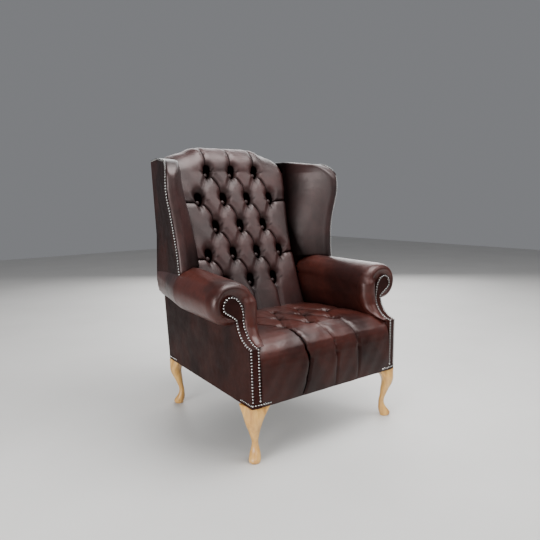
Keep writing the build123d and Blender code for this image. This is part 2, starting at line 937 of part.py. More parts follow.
def wing_wire(z, inset, back_over):
    """Plan section of the wing: padded front edge, inner face and the cut behind it."""
    x, y = wing_front(z)
    tip = (x + overrun * 5, y, z)
    edge_out = (x - panel, y + inset, z)
    edge_in = (x - wing_edge_thickness + inset / 2, y + wing_edge_bulge / 2 + inset, z)
    nose = (x - panel - wing_edge_thickness / 2, y - wing_edge_bulge + inset, z)
    crease_x = back_half_width(z) - inner_tuck
    crease_y = pit_y(z) - back_pit_depth + inner_tuck
    rear_y_here = outer_back_y(z) - back_panel + back_over
    face_mid = (
        (edge_in[0] + crease_x) / 2 - wing_edge_bulge * 0.5 + inset,
        (edge_in[1] + crease_y) / 2 - wing_edge_bulge * 0.7 + inset,
        z,
    )
    crease = (crease_x + inset, crease_y + inset, z)
    inner = (crease_x + inset, rear_y_here, z)
    outer = (x + overrun * 5, rear_y_here, z)
    return Wire([
        Edge.make_line(tip, edge_out),
        *bend(edge_out, nose, edge_in, inset > 0),
        *bend(edge_in, face_mid, crease, inset > 0),
        Edge.make_line(crease, inner),
        Edge.make_line(inner, outer),
        Edge.make_line(outer, tip),
    ])


inner_tuck = 14


def wing_outline(inset):
    """Side outline of the wing: rounded top corner and a top edge that climbs to the back."""
    start = (wing_base_y + inset, wing_corner_z)
    middle_z = wing_corner_z + (wing_top_front_z - wing_corner_z) * 0.6
    bend = (wing_base_y + wing_waist * 1.7 + inset * diagonal, middle_z - inset * diagonal)
    shoulder = (wing_base_y + 6 * wing_waist, wing_top_front_z - inset)
    climb = (wing_base_y + 14 * wing_waist, wing_top_rear_z - inset)
    low = wing_bottom_z - reach / 4
    far = reach
    arc = Edge.make_three_point_arc((0, *start), (0, *bend), (0, *shoulder))
    rest = Polyline(
        (0, *shoulder), (0, *climb), (0, far, wing_top_rear_z - inset), (0, far, low), (0, -far, low),
        (0, -far, wing_corner_z), (0, *start),
    )
    face = Face(Wire([arc, *rest.edges()]))
    return Solid.extrude(face, Vector(reach, 0, 0))


def wing_heights():
    return [roll_rear_z] + [knot[0] for knot in wing_knots]


def wing_layer(near, far, skip=0):
    """Layer between two offsets outward from the wing's outer face, starting behind its edge."""
    wires = []
    for z in wing_heights():
        x, y = wing_front(z)
        rear = (wing_rear_x(z), outer_back_y(z) - back_panel)
        x, y = x + (rear[0] - x) * skip / (rear[1] - y), y + skip
        wires.append(polygon([
            (x + near, y, z), (x + far, y, z), (rear[0] + far, rear[1], z), (rear[0] + near, rear[1], z)
        ]))
    return ruled(wires)


def wing_outside():
    """Room outside the inner face of the wing's outside panel."""
    wires = []
    for z in wing_heights():
        x, y = wing_front(z)
        rear = outer_back_y(z) - back_panel
        wires.append(polygon([
            (wing_rear_x(z) - panel, rear, z), (x - panel, y, z), (x - panel, y - reach / 8, z),
            (x + reach / 4, y - reach / 8, z), (x + reach / 4, rear, z),
        ]))
    return ruled(wires)


def wing_pad(inset, back_over):
    wires = [wing_wire(z, inset, back_over) for z in wing_heights()]
    return ruled(wires) & wing_outline(inset)


crest_room = block(0, crest_half_width, 0, reach, roll_low_z, crest_z)
wing_form = cut(wing_pad(0, 0), wing_outside(), tufted_pad, back_core, crest_room, arm_form)
wing_core = wing_pad(leather, overrun)
keep_pair("outside_wing", main_body(cut(wing_layer(-panel, 0) & wing_outline(0), arm_form)))
nails = wing_layer(0, nail_height) & wing_outline(0)
inside = wing_layer(-overrun, nail_height + overrun, nail_width) & wing_outline(nail_width)
nails = nails - inside
keep_pair("wing_nail_strip", cut(nails, arm_form))

# Wing frame: a shaped post on the arm rail and a top rail back to the rear post
wing_post_width = 24
wing_post_depth = 36
wing_post_in = 12


def wing_post_wire(z):
    x, y = wing_front(z)
    slope = (wing_rear_x(z) - x) / (outer_back_y(z) - back_panel - y)
    front = y + wing_post_in
    rear = front + wing_post_depth
    right = x - panel - overrun + slope * wing_post_in
    right_rear = right + slope * wing_post_depth
    return polygon([
        (right - wing_post_width, front, z), (right, front, z),
        (right_rear, rear, z), (right_rear - wing_post_width, rear, z),
    ])


def wing_post():
    foot_y = wing_base_y + wing_post_in
    share = (foot_y - arm_rail_start_y) / (arm_rail_end_y - arm_rail_start_y)
    foot_x = arm_rail_start_x + (arm_rail_rear_x - arm_rail_start_x) * share
    foot_z = roll_z + (roll_rear_z - roll_z) * share
    half = wing_post_width / 2
    foot = polygon([
        (foot_x - half, foot_y, foot_z), (foot_x + half, foot_y, foot_z),
        (foot_x + half, foot_y + wing_post_depth, foot_z),
        (foot_x - half, foot_y + wing_post_depth, foot_z),
    ])
    tops = [z for z in wing_heights() if roll_wing_z + roll_wing_height / 2 < z < wing_rail_z]
    return ruled([foot] + [wing_post_wire(z) for z in tops] + [wing_post_wire(wing_rail_z)])


wing_rail_z = 925
wing_rail_height = 40


def wing_rail():
    x, y = wing_front(wing_rail_z)
    slope = (wing_rear_x(wing_rail_z) - x) / (outer_back_y(wing_rail_z) - back_panel - y)
    front = y + wing_post_in
    right = x - panel - overrun * 2 + slope * wing_post_in
    rear = outer_back_y(wing_rail_z) - rear_gap - rear_post_width + overrun
    rear_x = side_x(rear, wing_rail_z) - panel
    wires = []
    for z in (wing_rail_z, wing_rail_z + wing_rail_height):
        wires.append(polygon([
            (right - wing_post_width, front, z), (right, front, z),
            (rear_x, rear, z), (rear_x - wing_post_width, rear, z),
        ]))
    return ruled(wires) - rear_post_right - crest_piece


stile_right = stile() - rear_post_right
wing_post_right = wing_post() - arm_rail_right
wing_rail_right = wing_rail()
keep_pair("wing_post", wing_post_right)
keep_pair("wing_top_rail", wing_rail_right)
keep("back_foam", cut(back_core, pair(wing_rail_right)))

wing_frame = [wing_post_right, wing_rail_right, rear_post_right, stile_right, crest_piece]
keep_pair("inside_wing_cover", main_body(cut(wing_form, wing_core, *wing_frame)))
keep_pair("wing_padding", main_body(cut(wing_form & wing_core, *wing_frame)))

# Arm covers and padding
arm_frame = [front_post_right, rear_post_right, side_rail, stuffing_rail, arm_rail_right,
             wing_post_right, stile_right, lower_back_rail]
keep_pair("inside_arm_cover", cut(arm_form, arm_core, *arm_frame))
keep_pair("arm_padding", cut(arm_form & arm_core, *arm_frame))

outside = side_slab(0, panel, front_y - reach, reach, leg_height, roll_z - roll_height / 4)
outside = (outside & front_region(-facing_board)) - rear_room
keep_pair("outside_arm", cut(outside, roll_outer))


# Facing board of the arm: pillar, cove, neck and the round scroll
def splay_room(offset):
    """Room in front of the pillar's face, which turns a little outward."""
    x_in = side_x(front_y, leg_height) - facing_width
    x_out = side_x(front_y, leg_height)
    slope = pillar_splay / facing_width
    wires = []
    for z in (leg_height - overrun, cove_z):
        wires.append(polygon([
            (x_in - overrun, front_y - pillar_splay - overrun * slope - offset, z),
            (x_out + overrun * 4, front_y + overrun * 4 * slope - offset, z),
            (x_out + overrun * 4, front_y - reach, z),
            (x_in - overrun, front_y - reach, z),
        ]))
    return ruled(wires)


facing = (front_region(0) - front_region(-facing_board)) & neck_slab(0, facing_width)
facing = (facing - splay_room(0)) + facing_head(0, facing_back_y, neck_y)
keep_pair("arm_facing", facing)


def pillar_strip(start, width, low, high):
    """Upright nail strip on the splayed face of the pillar."""
    slope = pillar_splay / facing_width
    wires = []
    for z in (low, high):
        right = side_x(front_y, z) - start
        left = right - width
        y_right = front_y - start * slope
        y_left = front_y - (start + width) * slope
        wires.append(polygon([
            (right, y_right, z), (right, y_right - nail_height, z),
            (left, y_left - nail_height, z), (left, y_left, z),
        ]))
    return ruled(wires)


inner_start = facing_width - nail_width
pillar_top = cove_z - cove_radius
strip_low = foot_nail_z + nail_width
cove_nails = front_region(nail_height) - front_region(0)
upper = block(0, reach, -reach, 0, pillar_top, cove_z)
nail_face_y = neck_y - nail_height
head_nails = facing_head(0, neck_y, nail_face_y) - facing_head(nail_width, neck_y, nail_face_y)
arm_nails = (cove_nails & upper & neck_slab(0, nail_width)) + (
    cove_nails & upper & neck_slab(inner_start, nail_width))
arm_nails = arm_nails + pillar_strip(0, nail_width, strip_low, pillar_top)
arm_nails = arm_nails + pillar_strip(inner_start, nail_width, strip_low, pillar_top)
arm_nails = (arm_nails - splay_room(nail_height)) + head_nails
keep_pair("arm_nail_strip", cut(arm_nails, facing, arm_form))

# Outside back and dust cover
def outside_back():
    tail_low = roll_rear_z - roll_rear_height / 2
    extent = roll_extent(roll_rear_y, roll_rear_z, roll_rear_overhang, roll_rear_height / 2)
    right = [(side_x(outer_back_y(z), z), z) for z in (leg_height, tail_low)]
    corner_z = roll_rear_z - roll_rear_height / 2 * diagonal
    right.append((extent[2] + extent[1] * diagonal, corner_z))
    heights = [roll_rear_z, roll_rear_z + wing_rise / 5, roll_rear_z + wing_rise / 2.5]
    heights.append(wing_top_rear_z - overrun)
    right += [(wing_rear_x(z), z) for z in heights]
    edge_share = (1, 0.83, 0.66, 0.53, 0.4)
    tops = [(crest_half_width * share, crest_height(crest_half_width * share)) for share in edge_share]
    right += [(x, z - crest_drop) for x, z in tops]
    left = [(-x, z) for x, z in reversed(right)]
    return back_slab(right + left, 0, back_panel)


keep("outside_back", outside_back())

dust_front = front_rail_y
dust_rear = rear_y - back_panel


def bolt_places():
    for y, step in ((front_y, 1), (rear_y, -1)):
        yield side_x(y, leg_height) - leg_bolt_in_x, y + step * leg_bolt_in_y


def bolt_holes():
    holes = None
    for x, y in bolt_places():
        height = leg_bolt_depth + leg_bolt_rise
        hole = Pos(x, y, leg_height - leg_bolt_depth + height / 2) * Cylinder(
            leg_bolt_radius + bolt_clearance, height)
        holes = hole if holes is None else holes + hole
    return pair(holes)


def dust_cover():
    right = [(side_x(y, leg_height) - panel, y, leg_height) for y in (dust_front, dust_rear)]
    left = [(-x, y, z) for x, y, z in reversed(right)]
    return Solid.extrude(Face(polygon(right + left)), Vector(0, 0, dust_cloth))


holes = bolt_holes()
keep("dust_cover", dust_cover() - holes)
for name in ("front_post_right", "front_post_left", "rear_post_right", "rear_post_left"):
    pieces[name] = pieces[name] - holes


# Cabriole legs, turned so that knee and toe point out along the corner's diagonal
def knee_points():
    """Top of the leg under the corner of the frame, in diagonal and cross directions."""
    corner_share = ((0, 0), (0.32, 0), (0.66, 0), (1, 0), (0.94, 0.19), (0.75, 0.45), (0.62, 0.62))
    half = [(u * leg_ear, v * leg_ear) for u, v in corner_share]
    loop = half + [(v, u) for u, v in reversed(half[1:-1])]
    return [(-(u + v) * diagonal, (u - v) * diagonal) for u, v in loop]


knee_angles = (0, 40, 75, 100, 125, 153, 180, 207, 235, 260, 285, 320)
leg_shape_share = (
    # height, centre inward, half depth, half width, likeness to the squared top
    (0.0, 0.44, 0.23, 0.23, 0), (0.06, 0.44, 0.28, 0.27, 0), (0.13, 0.52, 0.24, 0.25, 0),
    (0.235, 0.6, 0.16, 0.185, 0), (0.34, 0.595, 0.14, 0.145, 0), (0.445, 0.52, 0.165, 0.185, 0),
    (0.555, 0.45, 0.215, 0.25, 0), (0.67, 0.35, 0.27, 0.33, 0.02), (0.785, 0.3, 0.31, 0.4, 0.12),
    (0.88, 0.32, 0.33, 0.43, 0.42), (0.945, 0.33, 0.33, 0.43, 0.72), (1, 0.33, 0.33, 0.43, 1),
)


def leg(corner_x, corner_y, toward_x, toward_y):
    """Leg under a corner of the frame; toward is the direction into the chair."""
    top = knee_points()
    wires = []
    for height, inward, depth, width, squared in leg_shape_share:
        points = []
        for (top_d, top_t), angle in zip(top, knee_angles):
            turn = radians(angle)
            d = (-inward + depth * cos(turn)) * leg_ear
            t = width * sin(turn) * leg_ear
            d = d + (top_d - d) * squared
            t = t + (top_t - t) * squared
            u = (t - d) * diagonal
            v = (-d - t) * diagonal
            points.append((corner_x + toward_x * u, corner_y + toward_y * v, height * leg_height))
        wires.append(Wire([Edge.make_spline([Vector(*p) for p in points], periodic=True)]))
    return Solid.make_loft(wires)


for name, y, toward_y in (("front", front_y, 1), ("rear", rear_y, -1)):
    right_leg = leg(side_x(y, leg_height), y, -1, toward_y) - holes
    keep_pair("leg_" + name, right_leg)

bolts = None
for x, y in bolt_places():
    height = leg_bolt_depth + leg_bolt_rise
    bolt = Pos(x, y, leg_height - leg_bolt_depth + height / 2) * Cylinder(leg_bolt_radius, height)
    bolts = bolt if bolts is None else bolts + bolt
keep("leg_bolts", pair(bolts))


# Short nail strips over the legs
def foot_strips():
    high = foot_nail_z + nail_width
    front = side_slab(-nail_height, nail_height, front_y, front_y + foot_nail_length,
                      foot_nail_z, high)
    rear = side_slab(-nail_height, nail_height, rear_y - foot_nail_length, rear_y,
                     foot_nail_z, high)
    strip = pillar_strip(0, facing_width, foot_nail_z, high)
    x_in = side_x(front_y, leg_height) - facing_width
    face_y = front_y - pillar_splay
    level = block(x_in - foot_nail_length / 2, x_in, face_y - nail_height, face_y, foot_nail_z, high)
    return [front, rear, strip, level]


strips = foot_strips()
strips = strips[0] + strips[1] + (strips[2] + strips[3])
keep("leg_nail_strips", pair(strips - facing))

for name, piece in pieces.items():
    export_step(piece, f"parts/{name}.step")
    print(name, round(piece.volume))
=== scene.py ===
"""Looks of the buttoned leather wing chair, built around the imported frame. Metres."""

from math import cos, pi, radians, sin, sqrt
import bmesh
import bpy
import numpy as np
from mathutils import Matrix, Vector


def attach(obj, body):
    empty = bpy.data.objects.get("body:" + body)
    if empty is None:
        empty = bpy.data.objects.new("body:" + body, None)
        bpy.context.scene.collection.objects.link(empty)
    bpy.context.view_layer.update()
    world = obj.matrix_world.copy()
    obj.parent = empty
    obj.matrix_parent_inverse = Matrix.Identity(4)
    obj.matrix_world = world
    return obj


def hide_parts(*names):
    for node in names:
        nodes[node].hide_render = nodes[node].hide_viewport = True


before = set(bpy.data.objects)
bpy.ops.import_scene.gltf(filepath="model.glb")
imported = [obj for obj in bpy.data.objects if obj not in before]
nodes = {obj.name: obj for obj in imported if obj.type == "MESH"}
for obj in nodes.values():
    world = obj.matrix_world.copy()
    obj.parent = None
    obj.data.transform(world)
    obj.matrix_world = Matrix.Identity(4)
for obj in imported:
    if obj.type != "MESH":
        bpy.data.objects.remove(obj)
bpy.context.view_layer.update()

# Sizes that the frame's solids have too
leg_height = 0.191
front_half_width = 0.342
rear_half_width = 0.270
body_depth = 0.694
front_y = -0.378
rear_y = front_y + body_depth
side_lean = 0.02
back_lean = 0.0875
pillar_splay = 0.006
facing_width = 0.034
inner_half_width = 0.260

button_pitch = 0.120
button_radius = 0.0095
back_row_counts = (3, 4, 3, 4, 3)
back_row_z = 0.955
back_row_pitch = 0.111
back_pit_y = 0.237
recline = 0.3
back_pit_depth = 0.025
back_low_z = 0.396
back_join_z = 0.972
crest_z = 1.070
crest_y = 0.300
crest_end_z = 1.018
crest_half_width = 0.282
crest_drop = 0.040
back_panel = 0.004

seat_row_counts = (3, 4, 3)
seat_row_y = -0.267
seat_row_pitch = 0.110
seat_crown_z = 0.414
seat_pit_depth = 0.019
seat_rear_y = 0.104
seat_edge_z = 0.348
seat_foot_z = 0.192

nail_radius = 0.0037
nail_rise = 0.0030
nail_pitch = 0.0101
foot_nail_z = 0.203
foot_nail_length = 0.072
cove_radius = 0.090
cove_z = 0.475
neck_y = -0.305
scroll_x = 0.3633
scroll_z = 0.518
scroll_radius = 0.035

# Fineness of the visible meshes
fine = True
grid_step = 0.0017 if fine else 0.0032
voxel = 0.0038 if fine else 0.006


# Shared forms
def side_x(y, z):
    """Outer face of the covered side."""
    taper = (rear_half_width - front_half_width) * (y - front_y) / body_depth
    return front_half_width + taper + side_lean * (z - leg_height)


def outer_back_y(z):
    """Outside face of the back."""
    return rear_y + back_lean * (z - leg_height)


def pit_y(z):
    """Reclined plane through the roots of the back's buttons."""
    return back_pit_y + recline * (z - back_row_z)


def rising(value, start, width, full=1):
    """0 up to the start, full from a width after it."""
    return np.clip((value - start) / width, 0, 1) * full


def falling(value, end, width, full=1):
    """Full up to a width before the end, 0 from the end on."""
    return np.clip((end - value) / width, 0, 1) * full


def eased(share):
    """A share from 0 to 1 that starts and ends level."""
    return share**2 * (3 - 2 * share)


def bell(distance, width):
    return np.exp(-((distance / width) ** 2))


def smoothed(values, passes):
    """Values along a line, averaged with their neighbours."""
    values = np.array(values, float)
    for _ in range(passes):
        values[1:-1] = (values[:-2] + 2 * values[1:-1] + values[2:]) / 4
    return values


def circle_through(a, b, c):
    """Centre, radius, start and end angle of the arc through three points."""
    (ax, ay), (bx, by), (cx, cy) = a, b, c
    aa, bb, cc = ax**2 + ay**2, bx**2 + by**2, cx**2 + cy**2
    d = 2 * (ax * (by - cy) + bx * (cy - ay) + cx * (ay - by))
    ux = (aa * (by - cy) + bb * (cy - ay) + cc * (ay - by)) / d
    uy = (aa * (cx - bx) + bb * (ax - cx) + cc * (bx - ax)) / d
    start = np.arctan2(ay - uy, ax - ux) % (2 * pi)
    end = np.arctan2(cy - uy, cx - ux)
    return ux, uy, np.hypot(ax - ux, ay - uy), start, end


# Materials
def new_material(name):
    """Material, its node tree, its shader and its object coordinates."""
    material = bpy.data.materials.new(name)
    material.use_nodes = True
    tree = material.node_tree
    shader = tree.nodes["Principled BSDF"]
    coords = tree.nodes.new("ShaderNodeTexCoord")
    return material, tree, shader, coords.outputs["Object"]


def noise(tree, vector, scale, detail=4.0, roughness=0.55, stretch=None):
    """Noise texture over object coordinates, stretched where asked."""
    if stretch is not None:
        mapping = tree.nodes.new("ShaderNodeMapping")
        mapping.inputs["Scale"].default_value = stretch
        tree.links.new(vector, mapping.inputs["Vector"])
        vector = mapping.outputs["Vector"]
    node = tree.nodes.new("ShaderNodeTexNoise")
    node.inputs["Scale"].default_value = scale
    node.inputs["Detail"].default_value = detail
    node.inputs["Roughness"].default_value = roughness
    tree.links.new(vector, node.inputs["Vector"])
    return node.outputs["Fac"]


def ramp(tree, value, stops):
    """Colours or greys along a value."""
    node = tree.nodes.new("ShaderNodeValToRGB")
    elements = node.color_ramp.elements
    while len(elements) < len(stops):
        elements.new(0.5)
    for element, (place, colour) in zip(elements, stops):
        element.position = place
        if isinstance(colour, (int, float)):
            colour = (colour, colour, colour)
        element.color = (*colour, 1.0)
    tree.links.new(value, node.inputs["Fac"])
    return node.outputs["Color"]


# Sockets of the Mix node when it mixes colours
mix_factor, mix_first, mix_second, mix_result = 0, 6, 7, 2


def mix_colour(tree, factor, first, second, kind="MIX"):
    node = tree.nodes.new("ShaderNodeMix")
    node.data_type = "RGBA"
    node.blend_type = kind
    for place, value in ((mix_factor, factor), (mix_first, first), (mix_second, second)):
        socket = node.inputs[place]
        if hasattr(value, "links"):
            tree.links.new(value, socket)
        elif isinstance(value, tuple):
            socket.default_value = (*value, 1.0)
        else:
            socket.default_value = value
    return node.outputs[mix_result]


def bump(tree, height, strength, distance, normal=None):
    node = tree.nodes.new("ShaderNodeBump")
    node.inputs["Strength"].default_value = strength
    node.inputs["Distance"].default_value = distance
    tree.links.new(height, node.inputs["Height"])
    if normal is not None:
        tree.links.new(normal, node.inputs["Normal"])
    return node.outputs["Normal"]


def painted_shade_value(tree):
    """Painted shade on a piece's vertices: it darkens the piece's folds, pits, recesses and other
    shaded places.
    """
    node = tree.nodes.new("ShaderNodeAttribute")
    node.attribute_name = "painted_shade"
    return node.outputs["Fac"]


# Leather: scales of its patterns, and the painted shade values between which it darkens and loses
# its sheen
cloud_scale, mottle_scale, wear_scale, wrinkle_scale, grain_scale = 5.0, 55.0, 24.0, 38.0, 620.0
painted_shade_start, painted_shade_full, painted_shade_left = 0.1, 0.8, 0.03


def make_leather(name, dark, middle, worn, worn_share, roughness, shine):
    """Antique rub-off leather: a dark glaze worn through to oxblood, with a fine grain."""
    material, tree, shader, coords = new_material(name)
    clouds = noise(tree, coords, cloud_scale, 3.0, 0.5)
    low = 0.5 - worn_share * 0.25
    high = 0.68 - worn_share * 0.25
    colour = ramp(tree, clouds, [(low, dark), ((low + high) / 2, middle), (high, worn)])
    mottle = ramp(tree, noise(tree, coords, mottle_scale, 3.0), [(0.35, 0.78), (0.7, 1.12)])
    colour = mix_colour(tree, 1.0, colour, mottle, "MULTIPLY")
    # Painted shade from the vertices darkens the colour and takes the sheen away
    painted_shade = painted_shade_value(tree)
    shade = ramp(tree, painted_shade, [(painted_shade_start, 1.0), (painted_shade_full, painted_shade_left)])
    colour = mix_colour(tree, 1.0, colour, shade, "MULTIPLY")
    sheen = ramp(tree, painted_shade, [(painted_shade_start, shine), (painted_shade_full, 0.0)])
    tree.links.new(sheen, shader.inputs["Specular IOR Level"])
    tree.links.new(colour, shader.inputs["Base Color"])
    wear = noise(tree, coords, wear_scale, 3.0)
    rough = ramp(tree, wear, [(0.3, roughness - 0.05), (0.75, roughness + 0.08)])
    tree.links.new(rough, shader.inputs["Roughness"])
    grain = tree.nodes.new("ShaderNodeTexVoronoi")
    grain.inputs["Scale"].default_value = grain_scale
    grain.feature = "F1"
    tree.links.new(coords, grain.inputs["Vector"])
    normal = bump(tree, grain.outputs["Distance"], 0.22, 0.0006)
    wrinkles = noise(tree, coords, wrinkle_scale, 6.0, 0.65)
    normal = bump(tree, wrinkles, 0.16, 0.004, normal)
    tree.links.new(normal, shader.inputs["Normal"])
    shader.inputs["Specular Tint"].default_value = (1.0, 0.86, 0.84, 1.0)
    return material


def make_beech():
    """Pale lacquered beech: long soft grain with short dark flecks."""
    material, tree, shader, coords = new_material("pale_beech")
    rings = noise(tree, coords, 10.0, 5.0, 0.55, (6.0, 6.0, 0.6))
    dark, middle, pale = (0.47, 0.22, 0.055), (0.67, 0.365, 0.100), (0.79, 0.485, 0.155)
    colour = ramp(tree, rings, [(0.3, dark), (0.5, middle), (0.72, pale)])
    flecks = noise(tree, coords, 60.0, 2.0, 0.5, (5.0, 5.0, 0.5))
    flecks = ramp(tree, flecks, [(0.62, 1.0), (0.78, 0.72)])
    colour = mix_colour(tree, 1.0, colour, flecks, "MULTIPLY")
    tree.links.new(colour, shader.inputs["Base Color"])
    shader.inputs["Roughness"].default_value = 0.3
    shader.inputs["Coat Weight"].default_value = 0.35
    shader.inputs["Coat Roughness"].default_value = 0.2
    tree.links.new(bump(tree, rings, 0.08, 0.001), shader.inputs["Normal"])
    return material


def make_frame_wood():
    """Sawn beech of the frame under the covers."""
    material, tree, shader, coords = new_material("sawn_beech")
    rings = noise(tree, coords, 9.0, 6.0, 0.6, (3.0, 0.6, 3.0))
    colour = ramp(tree, rings, [(0.3, (0.36, 0.23, 0.12)), (0.7, (0.52, 0.36, 0.21))])
    tree.links.new(colour, shader.inputs["Base Color"])
    shader.inputs["Roughness"].default_value = 0.7
    tree.links.new(bump(tree, rings, 0.2, 0.001), shader.inputs["Normal"])
    return material


def make_nickel():
    """Bright nickel nail heads, uneven from the polishing and darkened by painted shade on their
    vertices.
    """
    material, tree, shader, coords = new_material("bright_nickel")
    spots = noise(tree, coords, 300.0, 2.0)
    colour = ramp(tree, spots, [(0.3, (0.80, 0.79, 0.77)), (0.7, (0.9, 0.89, 0.87))])
    shade = ramp(tree, painted_shade_value(tree), [(0.0, 1.0), (0.9, 0.06)])
    colour = mix_colour(tree, 1.0, colour, shade, "MULTIPLY")
    tree.links.new(colour, shader.inputs["Base Color"])
    shader.inputs["Metallic"].default_value = 1.0
    tree.links.new(ramp(tree, spots, [(0.3, 0.16), (0.7, 0.3)]), shader.inputs["Roughness"])
    return material


def make_plain(name, colour, other, scale, roughness, strength):
    """Speckled colour on an uneven surface: foam or zinc."""
    material, tree, shader, coords = new_material(name)
    spots = noise(tree, coords, scale, 3.0)
    tree.links.new(ramp(tree, spots, [(0.35, colour), (0.65, other)]), shader.inputs["Base Color"])
    shader.inputs["Roughness"].default_value = roughness
    tree.links.new(bump(tree, spots, strength, 0.001), shader.inputs["Normal"])
    return material


def make_weave(name, colour, other, threads):
    """Woven tape or cloth: crossed bands of threads."""
    material, tree, shader, coords = new_material(name)
    waves = []
    for direction in ("X", "Y"):
        wave = tree.nodes.new("ShaderNodeTexWave")
        wave.bands_direction = direction
        wave.inputs["Scale"].default_value = threads
        tree.links.new(coords, wave.inputs["Vector"])
        waves.append(wave.outputs["Fac"])
    height = mix_colour(tree, 0.5, waves[0], waves[1])
    tree.links.new(ramp(tree, height, [(0.3, colour), (0.7, other)]), shader.inputs["Base Color"])
    shader.inputs["Roughness"].default_value = 0.85
    tree.links.new(bump(tree, height, 0.5, 0.0008), shader.inputs["Normal"])
    return material


leather_back = make_leather(
    "leather_back", dark=(0.013, 0.0050, 0.0047), middle=(0.022, 0.0080, 0.0074),
    worn=(0.033, 0.0110, 0.0100), worn_share=0.4, roughness=0.40, shine=0.6)
leather_worn = make_leather(
    "leather_worn", dark=(0.018, 0.0050, 0.0042), middle=(0.031, 0.0080, 0.0061),
    worn=(0.052, 0.0120, 0.0084), worn_share=0.5, roughness=0.33, shine=0.44)
leather_side = make_leather(
    "leather_side", dark=(0.013, 0.0048, 0.0042), middle=(0.021, 0.0070, 0.0058),
    worn=(0.030, 0.0092, 0.0072), worn_share=0.3, roughness=0.44, shine=0.06)
beech = make_beech()
nickel = make_nickel()
finishes = {
    "leather": leather_side,
    "leg_wood": beech,
    "frame_wood": make_frame_wood(),
    "nail_metal": nickel,
    "bolt_steel": make_plain("zinc_steel", (0.45, 0.45, 0.46), (0.58, 0.58, 0.59), 90.0, 0.4, 0.1),
    "foam": make_plain("foam", (0.72, 0.66, 0.5), (0.85, 0.8, 0.65), 220.0, 0.95, 0.6),
    "webbing": make_weave("webbing", (0.24, 0.17, 0.1), (0.42, 0.32, 0.2), 180.0),
    "bottom_cloth": make_weave("bottom_cloth", (0.012, 0.012, 0.012), (0.03, 0.03, 0.03), 260.0),
}


def slot_of(name):
    """Finish of a solid of the frame, from its name."""
    if name.startswith(("leg_front", "leg_rear")):
        return "leg_wood"
    if name == "leg_bolts":
        return "bolt_steel"
    if "nail" in name:
        return "nail_metal"
    if "webbing" in name:
        return "webbing"
    if name == "dust_cover":
        return "bottom_cloth"
    if "foam" in name or "padding" in name:
        return "foam"
    if any(word in name for word in ("post", "rail", "stile", "corner_blocks")):
        return "frame_wood"
    return "leather"


for name, node in nodes.items():
    node.data.materials.clear()
    node.data.materials.append(finishes[slot_of(name)])


# Pieces from meshes
# Painted shade kept on a mesh's vertices, for the materials to darken by
def add_painted_shade(mesh, values):
    layer = mesh.attributes.new("painted_shade", "FLOAT", "POINT")
    layer.data.foreach_set("value", np.asarray(values, dtype=np.float32))


def add_piece(name, mesh, material):
    """A mesh as a smooth piece of the chair."""
    for polygon in mesh.polygons:
        polygon.use_smooth = True
    mesh.materials.clear()
    mesh.materials.append(material)
    obj = bpy.data.objects.new(name, mesh)
    bpy.context.scene.collection.objects.link(obj)
    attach(obj, "root")
    return obj


def mesh_from_tool(name, tool):
    mesh = bpy.data.meshes.new(name)
    tool.to_mesh(mesh)
    tool.free()
    return mesh


def mesh_from_faces(name, points, faces):
    mesh = bpy.data.meshes.new(name)
    mesh.from_pydata([tuple(point) for point in points], [], faces)
    mesh.update()
    return mesh


def padded_sheet(name, outer, inner, painted_shade, material):
    """Closed pad between an outer and an inner grid of points."""
    rows, columns = outer.shape[:2]
    points = np.concatenate([outer.reshape(-1, 3), inner.reshape(-1, 3)])
    half = rows * columns
    faces = []
    for i in range(rows - 1):
        for j in range(columns - 1):
            a = i * columns + j
            b, c, d = a + 1, a + columns + 1, a + columns
            faces.append((a, b, c, d))
            faces.append((half + a, half + d, half + c, half + b))
    rim = [(0, j) for j in range(columns)]
    rim += [(i, columns - 1) for i in range(1, rows)]
    rim += [(rows - 1, j) for j in range(columns - 2, -1, -1)]
    rim += [(i, 0) for i in range(rows - 2, 0, -1)]
    loop = [i * columns + j for i, j in rim]
    for a, b in zip(loop, loop[1:] + loop[:1]):
        faces.append((b, a, half + a, half + b))
    mesh = mesh_from_faces(name, points, faces)
    # Painted shade: the outer face takes its values, the inner face and rim full shade
    add_painted_shade(mesh, np.concatenate([painted_shade.ravel(), np.ones(half)]))
    obj = add_piece(name, mesh, material)
    return obj


# Deep buttoning: pads between folds, drawn down to the buttons
lip_width = 0.0042
# Width of the painted shade line along each fold
line_width = 0.0036
side_blur = 0.0008
end_blur = 0.8

pit_wide = 0.0192
pit_high = 0.031
pit_rise = 0.017
pit_reach = 1.05
funnel_low, funnel_high, funnel_narrow, funnel_widen = -0.4, 1.3, 0.22, 0.3
# Painted shadow in each pit: a dark core and a softer halo round it
core_reach, halo_reach, halo_shade = 0.87, 1.55, 0.36
wrinkle_ring, wrinkle_width, wrinkle_depth = 0.020, 0.010, 0.0008
wrinkle_count, wrinkle_turn = 4.5, 1.7
# The gathers and the place under each button are painted shade only, with no relief
gather_ring, gather_width, gather_shade = 0.034, 0.014, 0.5
gather_count, gather_turn, gather_root, gather_rise = 5.5, 0.9, 0.004, 0.012
under_drop, under_width, under_shade = 0.024, 0.017, 0.8
dip_shade = 0.25


